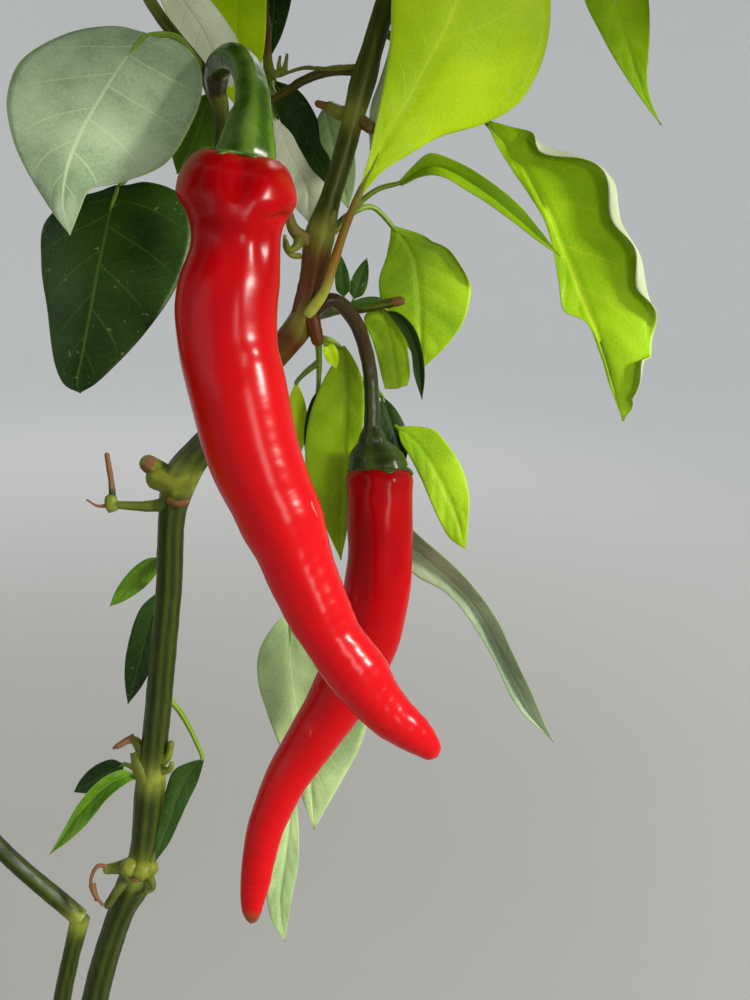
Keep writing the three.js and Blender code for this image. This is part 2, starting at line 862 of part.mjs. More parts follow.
        tip: seen(108, 606, 306),
        width: 10,
        rows: 5,
      },
    ],
  },
};

function frontGroup({ carriers, twig, twigRadius, leaves }) {
  const twigSolids = twig ? [limb(twig, () => twigRadius, { sides: 6, steps: 5 })] : [];
  const whole = fuse([...twigSolids, ...leaves.map(stalkedLeaf)]);
  return mainPiece(carriers.reduce((solid, name) => solid.subtract(makeLimb(name, clearance)), whole));
}

// The crown's masses: the limb each one grows on from, the middle of its own space, and its seed.
const crownPlans = {
  crown_left: { bough: 'left_bough', middle: vector(44, 34, 564), seed: 26 },
  crown_far_left: { bough: 'left_outer_bough', middle: vector(-66, 16, 536), seed: 12 },
  crown_front_left: { bough: 'left_front_bough', middle: vector(20, -86, 542), seed: 13 },
  crown_right: { bough: 'right_bough', middle: vector(136, 12, 566), seed: 14 },
  crown_far_right: { bough: 'right_outer_bough', middle: vector(238, -12, 536), seed: 15 },
  crown_front_right: { bough: 'right_front_bough', middle: vector(160, -96, 542), seed: 16 },
  crown_rear: { bough: 'rear_bough', middle: vector(90, 112, 566), seed: 17 },
  crown_rear_left: { bough: 'rear_left_bough', middle: vector(-12, 136, 530), seed: 30 },
  crown_rear_right: { bough: 'rear_right_bough', middle: vector(190, 134, 530), seed: 29 },
  low_left_mass: { bough: 'side_arm', middle: vector(-62, -4, 306), seed: 20 },
};

const leafRoom = 5;
const spaceMargin = 2;

// Places along the limbs and chillies with the room that each needs, which leaves keep off.
function keptPlaces() {
  const places = [];
  const add = (line, radiusAt, room) => {
    const curve = new THREE.CatmullRomCurve3(line, false, 'centripetal');
    const steps = 24;
    for (let step = 0; step <= steps; step += 1) {
      places.push({ place: curve.getPointAt(step / steps), room: radiusAt(step / steps) + room });
    }
  };
  for (const { line, widths } of Object.values(limbPlans)) {
    add(line, halfWidths(widths), leafRoom);
  }
  for (const { line, profile, stalk } of Object.values(chillies)) {
    add(line, halfWidths(profile), leafRoom);
    add(stalk, () => stalkRadius, leafRoom);
  }
  for (const { leaves } of Object.values(frontGroups)) {
    for (const leaf of leaves) {
      add([leaf.base, leaf.base.clone().lerp(leaf.tip, 0.5), leaf.tip], () => 0.4 * leaf.width, leafRoom);
    }
  }
  return places;
}

const kept = keptPlaces();

// True where a place is in the mass's own space, out of the laid-out view, and clear of all that is there.
function isFree(place, middle) {
  const own = place.distanceTo(middle);
  const nearest = Math.min(...Object.values(crownPlans)
    .filter((plan) => plan.middle !== middle)
    .map((plan) => place.distanceTo(plan.middle)));
  const spread = Math.hypot((place.x - crownAxis.x) / crownReach.x, (place.y - crownAxis.y) / crownReach.y);
  if (own + spaceMargin > nearest || inView(place) || place.z > crownHeight || spread > 1) {
    return false;
  }
  return kept.every((other) => place.distanceTo(other.place) > other.room);
}

// The places of one crown leaf that are tried before it grows.
function leafPlaces({ base, tip, width, face }) {
  const side = face.clone().cross(tip.clone().sub(base)).normalize();
  const middle = base.clone().lerp(tip, 0.4);
  return [
    base.clone().lerp(tip, 0.15),
    base.clone().lerp(tip, 0.7),
    tip,
    middle.clone().addScaledVector(side, 0.5 * width),
    middle.clone().addScaledVector(side, -0.5 * width),
  ];
}

// One crown leaf: out from the twig at a turn round it, on a petiole, with a blade that droops.
function crownLeaf(root, heading, turn, random) {
  const across = Math.abs(heading.z) > 0.9 ? vector(1, 0, 0) : upward;
  const radial = across.clone().cross(heading).normalize().applyAxisAngle(heading, turn);
  const petioleLength = THREE.MathUtils.lerp(...crownPetioleLength, random());
  const length = THREE.MathUtils.lerp(...crownLeafLength, random());
  const outward = heading.clone().multiplyScalar(0.45).add(radial).normalize();
  const base = root.clone().addScaledVector(outward, petioleLength).add(vector(0, 0, 2));
  const droop = vector(outward.x, outward.y, outward.z - crownLeafDroop * (0.6 + random())).normalize();
  const tip = base.clone().addScaledVector(droop, length);
  const face = upward.clone().addScaledVector(radial, 0.3).normalize();
  return { root, base, tip, face, width: length * crownLeafShare, bow: 0.07 * length };
}

// A mass of the crown by its rule: twigs that fork, each with a leaf, and a tuft of leaves at each end.
function growMass({ bough, middle, seed }) {
  const random = seededRandom(seed);
  const carrier = new THREE.CatmullRomCurve3(limbPlans[bough].line, false, 'centripetal');
  const carrierRadius = halfWidths(limbPlans[bough].widths)(1);
  const start = carrier.getPointAt(1).addScaledVector(carrier.getTangentAt(1), clearance);
  const twigs = [];
  const leaves = [];
  const taken = [];
  const tryLeaf = (root, heading, turn) => {
    for (let attempt = 0; attempt < crownLeafTries; attempt += 1) {
      const leaf = crownLeaf(root, heading, turn + 1.3 * attempt, random);
      const places = leafPlaces(leaf);
      const apart = taken.every((other) => places.every((place) => place.distanceTo(other) > crownLeafApart));
      if (apart && places.every((place) => isFree(place, middle))) {
        leaves.push(leaf);
        taken.push(...places.slice(1));
        return;
      }
    }
  };
  const branch = (from, heading, length, radius, level, turn) => {
    const to = from.clone().addScaledVector(heading, length);
    twigs.push({ from, to, radius });
    tryLeaf(from.clone().lerp(to, 0.85), heading, turn);
    if (level === crownForks) {
      for (let leaf = 0; leaf < crownTuftLeaves; leaf += 1) {
        tryLeaf(from.clone().lerp(to, 0.95), heading, turn + (leaf + 0.5) * 2 * Math.PI / crownTuftLeaves);
      }
      return;
    }
    const forkAxis = middle.clone().sub(from).cross(heading);
    const stray = vector(random() - 0.5, random() - 0.5, random() - 0.5);
    forkAxis.addScaledVector(stray, forkAxis.length() + 1).normalize();
    forkAxis.addScaledVector(heading, -forkAxis.dot(heading)).normalize();
    for (const way of [-1, 1]) {
      const child = heading.clone()
        .applyAxisAngle(forkAxis, way * crownForkAngle * (0.8 + 0.4 * random()))
        .lerp(middle.clone().sub(to).normalize(), 0.2)
        .normalize();
      const nextTurn = turn + 2.4 + random();
      branch(to, child, length * crownTwigShare, radius * crownTwigTaper, level + 1, nextTurn);
    }
  };
  const heading = carrier.getTangentAt(1).normalize();
  const stemEnd = start.clone().addScaledVector(heading, crownStemLength);
  const stemWidths = halfWidths([[0, carrierRadius], [1, crownTwigRadius]]);
  const stem = limb([start, start.clone().lerp(stemEnd, 0.5), stemEnd], stemWidths, { sides: 4, steps: 1 });
  const firstRoot = stemEnd.clone().addScaledVector(heading, -crownTwigRadius);
  const rising = middle.clone().sub(stemEnd).normalize().lerp(heading, 0.35).normalize();
  branch(firstRoot, rising, crownTwigLength, crownTwigRadius, 0, random() * 6);
  const twigSolids = twigs.map(({ from, to, radius }) => {
    const root = from.clone().lerp(to, -0.04);
    const twigWidths = halfWidths([[0, radius], [1, 0.85 * radius]]);
    return limb([root, from.clone().lerp(to, 0.5), to], twigWidths, { sides: 3, steps: 1 });
  });
  return mainPiece(fuse([stem, ...twigSolids, ...leaves.map(crownLeafSolid)]).simplify(sliverSize));
}

// Materials.
function finish(colour, roughness) {
  return new THREE.MeshStandardMaterial({ color: colour, roughness, metalness: 0 });
}

const finishes = {
  stem: finish(0x5b6b22, 0.55),
  bough: finish(0x66701f, 0.55),
  ripeSkin: finish(0xc01210, 0.18),
  stalk: finish(0x3f6a24, 0.4),
  frontLeaf: finish(0x6f9a1c, 0.5),
  crownLeaf: finish(0x4c7a1e, 0.5),
};

const group = new THREE.Group();

function place(name, solid, material) {
  const mesh = new THREE.Mesh(toGeometry(solid), material);
  mesh.name = name;
  group.add(mesh);
}

place('main_stem', mainStem(), finishes.stem);
for (const name of Object.keys(limbPlans).slice(1)) {
  place(name, cutLimb(name), finishes.bough);
}
for (const [name, chilli] of Object.entries(chillies)) {
  place(name, chilliBody(chilli), finishes.ripeSkin);
  place(`${name}_stalk`, chilli.makeStalk(chilli, makeLimb(chilli.carrier, clearance)), finishes.stalk);
}
for (const [name, leafGroup] of Object.entries(frontGroups)) {
  place(name, frontGroup(leafGroup), finishes.frontLeaf);
}
for (const [name, plan] of Object.entries(crownPlans)) {
  place(name, growMass(plan), finishes.crownLeaf);
}

export default group;
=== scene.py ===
# %% [markdown]
# # A chilli pepper plant
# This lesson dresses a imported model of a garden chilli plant: a leaning stem that forks into boughs,
# two long ripe fruits in front and three more round the back, and leaves all over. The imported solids
# are plain and faceted. They hold the plant's size and its places, and this script grows the living
# surface over them. Lengths are worked out in millimetres, as a gardener would measure them, and
# turned into metres when a mesh is made.

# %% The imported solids
import math
import bpy
import numpy as np
from mathutils import Matrix, Vector


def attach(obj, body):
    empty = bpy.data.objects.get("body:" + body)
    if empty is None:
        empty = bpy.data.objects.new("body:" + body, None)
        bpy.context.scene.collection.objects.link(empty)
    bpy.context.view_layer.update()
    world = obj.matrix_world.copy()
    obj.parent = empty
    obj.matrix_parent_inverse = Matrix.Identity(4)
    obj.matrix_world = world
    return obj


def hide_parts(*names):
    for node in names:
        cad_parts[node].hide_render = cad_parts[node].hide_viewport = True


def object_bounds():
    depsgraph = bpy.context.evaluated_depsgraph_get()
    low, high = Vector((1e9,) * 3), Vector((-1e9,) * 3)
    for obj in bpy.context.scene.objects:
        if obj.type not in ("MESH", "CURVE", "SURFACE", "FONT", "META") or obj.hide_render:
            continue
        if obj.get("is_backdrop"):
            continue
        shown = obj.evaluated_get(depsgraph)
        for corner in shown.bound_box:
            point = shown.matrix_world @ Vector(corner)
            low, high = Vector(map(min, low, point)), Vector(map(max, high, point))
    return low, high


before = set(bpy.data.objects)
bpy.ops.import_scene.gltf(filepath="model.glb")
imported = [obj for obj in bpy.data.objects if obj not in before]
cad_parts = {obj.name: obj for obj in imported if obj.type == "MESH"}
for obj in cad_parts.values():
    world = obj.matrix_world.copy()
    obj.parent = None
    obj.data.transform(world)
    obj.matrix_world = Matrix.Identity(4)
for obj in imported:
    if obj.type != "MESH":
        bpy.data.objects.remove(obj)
solid_box = [list(corner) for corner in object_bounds()]
print(len(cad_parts), "solids, reaching", [round(high - low, 3) for low, high in zip(*solid_box)], "m")

# %% [markdown]
# ## Placing things by how they are seen
# A plant has no straight edges to measure from. Its front was laid out from one viewpoint, so a place
# is named by how far across and down that view it is seen, and by how deep it lies. The same viewpoint
# is the camera's. Another way would be to write each place as X, Y and Z, but then nobody could tell
# from the numbers which leaf lies in front of which.

# %% The viewpoint
eye = np.array([122.0, -262.0, 400.0])
eye_tilt = math.radians(16.6)
eye_focus = 904.0
middle_across, middle_down = 375, 500
ahead = np.array([0.0, math.cos(eye_tilt), -math.sin(eye_tilt)])
above = np.array([0.0, math.sin(eye_tilt), math.cos(eye_tilt)])
rightward = np.array([1.0, 0.0, 0.0])
upward = np.array([0.0, 0.0, 1.0])


def seen(across, down, depth):
    """The place at this depth that is seen so far across and down the view."""
    sideways = rightward * (across - middle_across) / eye_focus
    return eye + depth * (ahead + sideways - above * (down - middle_down) / eye_focus)


camera = bpy.data.objects.new("viewpoint", bpy.data.cameras.new("viewpoint"))
bpy.context.scene.collection.objects.link(camera)
camera.location = eye / 1000
camera.rotation_euler = (math.pi / 2 - eye_tilt, 0, 0)
camera.data.lens = camera.data.sensor_width * eye_focus / (2 * middle_down)
camera.data.clip_start = 0.01
bpy.context.scene.camera = camera
print("lens", round(camera.data.lens, 2), "mm")

# %% [markdown]
# ## The studio
# A plain pale floor that curves up all round stands in for the garden, so no edge or horizon cuts the
# picture. It is a lathed profile: flat in the middle and rising at the rim. A floor plane and a
# separate wall would also do, but their corner shows from some sides.


# %% Floor and backdrop
def mesh_object(name, places, faces):
    """A mesh object from places in millimetres."""
    mesh = bpy.data.meshes.new(name)
    mesh.from_pydata([tuple(place) for place in np.asarray(places, float) / 1000], [], faces)
    mesh.update()
    mesh.shade_smooth()
    made = bpy.data.objects.new(name, mesh)
    bpy.context.scene.collection.objects.link(made)
    return made


def leave_mark(mesh, name, values, kind="FLOAT"):
    """Leaves a number, or three, on every point of a mesh."""
    column = "value" if kind == "FLOAT" else "vector"
    marks = mesh.attributes.new(name, kind, "POINT")
    marks.data.foreach_set(column, np.asarray(values, np.float32).ravel())


rim_steps, floor_turns = 14, 72
flat_reach, rim_radius, floor_middle = 2600, 1800, 90
profile = [(0, 0), (1200, 0), (flat_reach, 0)]
for step in range(1, rim_steps + 1):
    turn = step / rim_steps * math.pi / 2
    profile.append((flat_reach + rim_radius * math.sin(turn), rim_radius * (1 - math.cos(turn))))
profile.append((flat_reach + rim_radius, 2 * rim_radius))
places = [(0, 0, 0)]
for reach, height in profile[1:]:
    for index in range(floor_turns):
        turn = 2 * math.pi * index / floor_turns
        places.append((floor_middle + reach * math.cos(turn), reach * math.sin(turn), height))
faces = [(0, 1 + index, 1 + (index + 1) % floor_turns) for index in range(floor_turns)]
for ring in range(len(profile) - 2):
    low = 1 + ring * floor_turns
    high = low + floor_turns
    for index in range(floor_turns):
        following = (index + 1) % floor_turns
        faces.append((low + index, high + index, high + following, low + following))
floor = mesh_object("pale_floor", places, faces)
floor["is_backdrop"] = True
print("floor", len(faces), "faces")

# %% [markdown]
# ## Light
# The plant stood in strong sun from the right. One bright panel there lights the right side of everything
# and leaves glints on the wrinkles of the fruit. A tall one nearer the viewer draws the upright
# glint down the front fruit, a large soft one fills from the left, and one behind the plant draws light
# rims along leaves and stems. The rest of the light comes from the pale sky all round. A sun lamp would
# give harder shadows than a plain studio should have.


# %% Four panels and a pale sky
def panel(name, place, target, wide, tall, watts, tint):
    """A light panel turned towards a target, both in metres. A grid keeps its light off the walls."""
    light = bpy.data.lights.new(name, "AREA")
    light.shape = "RECTANGLE"
    light.size = wide
    light.size_y = tall
    light.energy = watts
    light.spread = math.radians(90)
    light.color = tint
    made = bpy.data.objects.new(name, light)
    bpy.context.scene.collection.objects.link(made)
    made.location = place
    way = np.array(target) - np.array(place)
    made.rotation_euler = Vector(way).to_track_quat("-Z", "Y").to_euler()


plant_middle = (0.1, 0.0, 0.36)
panel("key", (1.38, -0.5, 0.86), plant_middle, 0.22, 0.22, 6.5, (1, 0.97, 0.9))
panel("glint", (0.78, -1.12, 0.5), plant_middle, 0.26, 0.6, 1.3, (1, 0.98, 0.94))
panel("fill", (-1.6, -1.4, 1.1), plant_middle, 1.6, 1.6, 2.6, (0.94, 0.97, 1))
panel("rim", (0.3, 1.6, 1.7), plant_middle, 0.9, 0.9, 1.7, (1, 0.98, 0.92))
world = bpy.data.worlds.new("pale sky")
bpy.context.scene.world = world
world.use_nodes = True
world.node_tree.nodes["Background"].inputs["Color"].default_value = (0.93, 0.96, 1, 1)
world.node_tree.nodes["Background"].inputs["Strength"].default_value = 0.6
bpy.context.scene.view_settings.view_transform = "Standard"

# %% [markdown]
# ## Nodes written as sums
# Finishes and growing patterns are node trees. Drawn by hand they are slow to read, so one small class
# wraps a socket and lets sums be written as sums: `1 - mask` adds the Math node that works it out. The
# same class serves both kinds of tree.


# %% Sockets that can be added and multiplied
class Value:
    """What comes out of a socket. Sums and products of values add their Math nodes."""

    def __init__(self, nodes, socket):
        self.nodes, self.socket = nodes, socket

    def maths(self, operation, *inputs):
        return self.nodes.add("ShaderNodeMath", {"operation": operation}, dict(enumerate(inputs)))

    def step(self, low, high):
        """0 below low, 1 above high, and smooth between."""
        inputs = {"Value": self, "From Min": low, "From Max": high}
        return self.nodes.add("ShaderNodeMapRange", {"interpolation_type": "SMOOTHSTEP"}, inputs)


def sum_method(operation, reflected=False):
    """A method that adds a Math node. In a reflected one, such as 1 - mask, the value comes second."""
    if reflected:
        return lambda value, other: value.maths(operation, other, value)
    return lambda value, *others: value.maths(operation, value, *others)


for method, operation in (("add", "ADD"), ("sub", "SUBTRACT"), ("mul", "MULTIPLY")):
    setattr(Value, f"__{method}__", sum_method(operation))
    setattr(Value, f"__r{method}__", sum_method(operation, True))
for method, operation in (("__truediv__", "DIVIDE"), ("__pow__", "POWER"), ("__abs__", "ABSOLUTE"),
                          ("fraction", "FRACT"), ("cosine", "COSINE"), ("most", "MAXIMUM")):
    setattr(Value, method, sum_method(operation))


def colour(red, green, blue):
    """A colour read off a screen, from 0 to 255, as the light that the shader works with."""
    shares = [part / 255 for part in (red, green, blue)]
    return tuple(((share + 0.055) / 1.055) ** 2.4 if share > 0.04 else share / 12.92 for share in shares)


class Nodes:
    """A node tree in the making."""

    def __init__(self, tree):
        self.tree = tree

    def node(self, kind, settings=None, inputs=None):
        """Adds a node: its settings first, and then the values or links of its sockets."""
        node = self.tree.nodes.new(kind)
        for key, value in (settings or {}).items():
            setattr(node, key, value)
        for key, value in (inputs or {}).items():
            self.put(node.inputs[key], value)
        return node

    def add(self, kind, settings=None, inputs=None, output=0):
        return Value(self, self.node(kind, settings, inputs).outputs[output])

    def put(self, socket, value):
        if isinstance(value, Value):
            self.tree.links.new(value.socket, socket)
        elif isinstance(value, tuple) and socket.type == "RGBA":
            socket.default_value = (*colour(*value), 1)
        else:
            socket.default_value = value


print("nodes can be written as sums")

# %% [markdown]
# ## Finishes
# Every surface of the plant gets its own finish from one kind of shader. A finish mixes a few colours
# by patterns that belong to the surface: noise that sits in the object, the leaf's own map of length and
# breadth, or numbers left on the mesh when it was grown, such as how close a place is to a leaf joint.


# %% A finish and its helpers
class Finish(Nodes):
    """A material: the Principled shader is its skin, and what varies feeds the skin's sockets."""

    def __init__(self, name, **constants):
        self.material = bpy.data.materials.new(name)
        self.material.use_nodes = True
        super().__init__(self.material.node_tree)
        self.tree.nodes.clear()
        self.skin = self.tree.nodes.new("ShaderNodeBsdfPrincipled")
        out = self.tree.nodes.new("ShaderNodeOutputMaterial")
        self.tree.links.new(self.skin.outputs["BSDF"], out.inputs["Surface"])
        self.where = self.add("ShaderNodeTexCoord", output="Object")
        for socket, value in constants.items():
            self.set(socket.replace("_", " "), value)

    def set(self, socket, value):
        self.put(self.skin.inputs[socket], value)

    def blend(self, factor, first, second):
        """One colour turning into another as factor goes from 0 to 1."""
        node = self.node("ShaderNodeMix", {"data_type": "RGBA"}, {0: factor, 6: first, 7: second})
        return Value(self, node.outputs[2])

    def noise(self, scale, detail=3.0, stretch=(1, 1, 1)):
        """Soft spots of a size: scale is how many go to a metre, and stretch squeezes them by axis."""
        place = self.add("ShaderNodeVectorMath", {"operation": "MULTIPLY"}, {0: self.where, 1: stretch})
        return self.add("ShaderNodeTexNoise", None, {"Vector": place, "Scale": scale, "Detail": detail})

    def attribute(self, name):
        return self.add("ShaderNodeAttribute", {"attribute_name": name}, output="Fac")

    def relief(self, height, depth, strength=1.0):
        """Raises the surface by a pattern of heights from 0 to 1, depth in millimetres."""
        inputs = {"Height": height, "Distance": depth / 1000, "Strength": strength}
        self.set("Normal", self.add("ShaderNodeBump", None, inputs))


floor_finish = Finish("pale floor", Roughness=0.9, Specular_IOR_Level=0.0)
floor_reach = floor_finish.add("ShaderNodeVectorMath", {"operation": "LENGTH"}, {0: floor_finish.where}, 1)
pale = floor_finish.blend(floor_finish.noise(3), (166, 165, 162), (169, 168, 165))
# Painted light: the floor and wall are painted lighter away from the middle, to make up for the lamps' light
# that falls off there.
pale = floor_finish.blend(floor_reach.step(0.2, 1.7), pale, (244, 244, 242))
floor_finish.set("Base Color", pale)
floor.data.materials.append(floor_finish.material)
print("floor finish", len(floor_finish.tree.nodes), "nodes")

# %% [markdown]
# ## Smooth lines
# Stems, stalks, midribs and fruits all follow smooth lines through a few known places. This is the same
# kind of curve as in the solids, so the new surfaces lie where the solids lie.


# %% A smooth line and a smooth width
class Line:
    """A smooth line through places, read by its share of the length from 0 to 1."""

    def __init__(self, places):
        self.places = [np.asarray(place, float) for place in places]
        self.shares = np.linspace(0, 1, 201)
        spots = np.array([self.spot(share) for share in self.shares])
        steps = np.linalg.norm(np.diff(spots, axis=0), axis=1)
        self.lengths = np.concatenate([[0], np.cumsum(steps)])
        self.length = self.lengths[-1]

    def spot(self, share):
        """A place on the curve, by its share of the stretches between the given places."""
        last = len(self.places) - 1
        index = min(int(share * last), last - 1)
        weight = share * last - index
        second, third = self.places[index], self.places[index + 1]
        first = self.places[index - 1] if index > 0 else 2 * second - third
        fourth = self.places[index + 2] if index + 2 <= last else 2 * third - second
        pairs = (first, second), (second, third), (third, fourth)
        before, gap, after = [max(np.linalg.norm(high - low), 1e-9) ** 0.5 for low, high in pairs]
        out = (second - first) / before - (third - first) / (before + gap) + (third - second) / gap
        into = (third - second) / gap - (fourth - second) / (gap + after) + (fourth - third) / after
        out, into = out * gap, into * gap
        bend = -3 * second + 3 * third - 2 * out - into
        twist = 2 * second - 2 * third + out + into
        return second + weight * (out + weight * (bend + weight * twist))

    def at(self, share):
        return self.spot(float(np.interp(share * self.length, self.lengths, self.shares)))

    def heading(self, share, reach=1e-4):
        middle = float(np.interp(share * self.length, self.lengths, self.shares))
        way = self.spot(min(middle + reach, 1)) - self.spot(max(middle - reach, 0))
        return way / np.linalg.norm(way)


def widths(stations):
    """Half widths along a piece, smooth between stations of (share of the length, half width)."""
    spots = [spot for spot, _ in stations]

    def half_width(share):
        index = min(max(int(np.searchsorted(spots, share, side="left")) - 1, 0), len(stations) - 2)
        (low, before), (high, after) = stations[index], stations[index + 1]
        part = min(max((share - low) / (high - low), 0), 1)
        return before + (after - before) * part * part * (3 - 2 * part)

    return half_width


print("a quarter turn is", round(Line([(10, 0, 0), (7.07, 7.07, 0), (0, 10, 0)]).length, 2), "mm long")

# %% [markdown]
# ## Round limbs
# A stem, bough, petiole or stalk is round, tapers, swells at its leaf joints and bears fine ribs along
# its length. Only its middle line and its half width differ. So Python places the line's points and
# writes a half width on each, and one tree of nodes makes all of them round, ribs them and roughens
# them. A curve with a bevel would be as round, but it couldn't carry the ribs or the marks that the
# finish needs.


# %% The tree for limbs
def new_tree(name, inputs):
    """A tree of geometry nodes with named inputs, and the values that come out of them."""
    tree = bpy.data.node_groups.new(name, "GeometryNodeTree")
    for title, kind in inputs:
        tree.interface.new_socket(name=title, in_out="INPUT", socket_type="NodeSocket" + kind)
    tree.interface.new_socket(name="Result", in_out="OUTPUT", socket_type="NodeSocketGeometry")
    make = Nodes(tree)
    given = tree.nodes.new("NodeGroupInput").outputs
    return make, {title: Value(make, given[title]) for title, _ in inputs}


def named(make, name, kind="FLOAT"):
    return make.add("GeometryNodeInputNamedAttribute", {"data_type": kind}, {"Name": name})


def store(make, shape, name, value):
    inputs = {"Geometry": shape, "Name": name, "Value": value}
    return make.add("GeometryNodeStoreNamedAttribute", {"data_type": "FLOAT", "domain": "POINT"}, inputs)


def end_tree(make, shape, finish):
    """The end of every tree: real geometry, smooth, in its finish."""
    shape = make.add("GeometryNodeRealizeInstances", None, {"Geometry": shape})
    shape = make.add("GeometryNodeSetShadeSmooth", None, {"Geometry": shape})
    shape = make.add("GeometryNodeSetMaterial", None, {"Geometry": shape, "Material": finish})
    make.node("NodeGroupOutput", None, {"Result": shape})
    return make.tree


def make_limb_tree():
    make, given = new_tree("round limbs", (
        ("Lines", "Geometry"), ("Sides", "Int"), ("Ribs", "Int"), ("Rib Height", "Float"),
        ("Knob Height", "Float"), ("Knobs Each Metre", "Float"), ("Finish", "Material"),
    ))
    lines = make.add("GeometryNodeMeshToCurve", None, {"Mesh": given["Lines"]})
    ring = make.add("GeometryNodeCurvePrimitiveCircle", None, {"Resolution": given["Sides"], "Radius": 1.0})
    turn = make.add("GeometryNodeInputIndex") / given["Sides"] * (2 * math.pi)
    ring = store(make, ring, "rib", (turn * given["Ribs"]).cosine())
    thickness = named(make, "thickness")
    inputs = {"Curve": lines, "Profile Curve": ring, "Scale": thickness, "Fill Caps": True}
    shape = make.add("GeometryNodeCurveToMesh", None, inputs)
    place = make.add("GeometryNodeInputPosition")
    noise = make.add("ShaderNodeTexNoise", None, {"Vector": place, "Scale": given["Knobs Each Metre"]})
    rise = thickness * given["Rib Height"] * named(make, "rib") + (noise - 0.5) * given["Knob Height"]
    normal = make.add("GeometryNodeInputNormal")
    offset = make.add("ShaderNodeVectorMath", {"operation": "SCALE"}, {0: normal, "Scale": rise})
    shape = make.add("GeometryNodeSetPosition", None, {"Geometry": shape, "Offset": offset})
    return end_tree(make, shape, given["Finish"])


def grow(name, mesh, tree, settings):
    """Runs a tree on a mesh, and keeps what it makes as a plain mesh object."""
    start = bpy.data.objects.new(name + "_start", mesh)
    bpy.context.scene.collection.objects.link(start)
    modifier = start.modifiers.new("grow", "NODES")
    modifier.node_group = tree
    for item in tree.interface.items_tree:
        if item.in_out == "INPUT" and item.name in settings:
            modifier[item.identifier] = settings[item.name]
    graph = bpy.context.evaluated_depsgraph_get()
    result = start.evaluated_get(graph)
    grown = bpy.data.meshes.new_from_object(result, preserve_all_data_layers=True, depsgraph=graph)
    bpy.data.objects.remove(start)
    made = bpy.data.objects.new(name, grown)
    bpy.context.scene.collection.objects.link(made)
    return made


limb_tree = make_limb_tree()
print("limb tree", len(limb_tree.nodes), "nodes")

# %% [markdown]
# ## Marks along a limb
# A young stem is olive green, yellow and swollen where leaves were joined, brown where it has dried or
# been cut, and it carries a red-brown flush at set places; on the right bough beside the front fruit that
# flush is partly the stem's own colour and partly a painted reflection of the fruit's red. Each of these
# is a mark from 0 to 1 that is worked out for each place along the line, and the finish turns it into colour.


# %% Gathering limbs
def near(places, reach):
    """A mark that is 1 at some places and fades out over a reach in millimetres."""
    spots = np.array(places, float)
    return lambda place: float(np.exp(-(np.linalg.norm(spots - place, axis=1) / reach) ** 2).max())


class Rods:
    """Lines with half widths and marks, gathered to be made round in one go."""

    marks = ("joint", "dry", "flush")

    def __init__(self):
        self.rows = []
        self.joins = []

    def path(self, places, radii, **marks):
        first = len(self.rows)
        for place, radius in zip(places, radii):
            values = [marks.get(mark, 0.0) for mark in self.marks]
            values = [value(place) if callable(value) else value for value in values]
            self.rows.append((*place, radius, *values))
        self.joins += [(index, index + 1) for index in range(first, len(self.rows) - 1)]

    def add(self, line, half_width, gap, start=0.0, rounded=True, **marks):
        """Follows a smooth line in steps of about a gap, and rounds off its free end."""
        line = line if isinstance(line, Line) else Line(line)
        steps = max(4, int(line.length * (1 - start) / gap))
        shares = [start + (1 - start) * step / steps for step in range(steps + 1)]
        places = [line.at(share) for share in shares]
        radii = [half_width(share) for share in shares]
        if rounded:
            end, way, radius = places[-1], line.heading(1), radii[-1]
            for turn in (0.5, 1.0, 1.4):
                places.append(end + way * radius * math.sin(turn))
                radii.append(radius * math.cos(turn))
        self.path(places, radii, **marks)

    def make(self, name, finish, sides, ribs=0, rib_height=0.0, knob_height=0.0, knobs=150.0):
        rows = np.array(self.rows)
        mesh = bpy.data.meshes.new(name)
        mesh.from_pydata([tuple(place) for place in rows[:, :3] / 1000], self.joins, [])
        for index, mark in enumerate(("thickness", *self.marks)):
            leave_mark(mesh, mark, rows[:, 3 + index] / (1000 if index == 0 else 1))
        return grow(name, mesh, limb_tree, {
            "Sides": sides, "Ribs": ribs, "Rib Height": rib_height, "Knob Height": knob_height / 1000,
            "Knobs Each Metre": knobs, "Finish": finish.material,
        })


class Rind(Finish):
    """The skin of a limb: dark and light stripes along it, with its joints, flushes and dry ends."""

    def __init__(self, name, light, dark, joint, flush, dry, roughness=0.42, coat=0.05):
        super().__init__(name, Coat_Weight=coat, Coat_Roughness=0.25, Specular_IOR_Level=0.16)
        spots = self.noise(95, 4)
        streaks = self.noise(900, 2, (1, 1, 0.06))
        stripe = self.attribute("rib") * 0.3 + 0.5 + (streaks - 0.5) * 0.6 + (spots - 0.5) * 0.5
        tint = self.blend(stripe.step(0.15, 0.85), dark, light)
        tint = self.blend(spots.step(0.55, 0.8) * 0.12, tint, joint)
        tint = self.blend(self.attribute("flush") * (0.55 + 0.45 * streaks.step(0.3, 0.6)), tint, flush)
        tint = self.blend(self.attribute("joint") * (0.45 + 0.55 * spots.step(0.35, 0.6)), tint, joint)
        tint = self.blend(self.attribute("dry").step(0.25, 0.6), tint, dry)
        self.set("Base Color", tint)
        self.set("Roughness", self.attribute("dry") * 0.35 + spots * 0.2 + (roughness - 0.1))
        self.relief(streaks * 0.6 + self.noise(1500, 3) * 0.4, 0.12, 0.6)


stem_rind = Rind("stem rind", (54, 66, 12), (32, 42, 6), (124, 134, 46),
                 (96, 56, 26), (114, 80, 50))
bough_rind = Rind("bough rind", (70, 80, 14), (48, 54, 8), (120, 126, 40),
                  (98, 44, 14), (110, 74, 42))
stalk_rind = Rind("fruit stalk rind", (76, 106, 28), (44, 70, 16), (150, 172, 92),
                  (62, 38, 18), (116, 74, 38), 0.24, 0.2)
shaded_rind = Rind("shaded stalk rind", (58, 74, 20), (34, 46, 10), (70, 96, 36),
                   (58, 32, 12), (120, 70, 34), 0.26, 0.2)
print("four rinds")

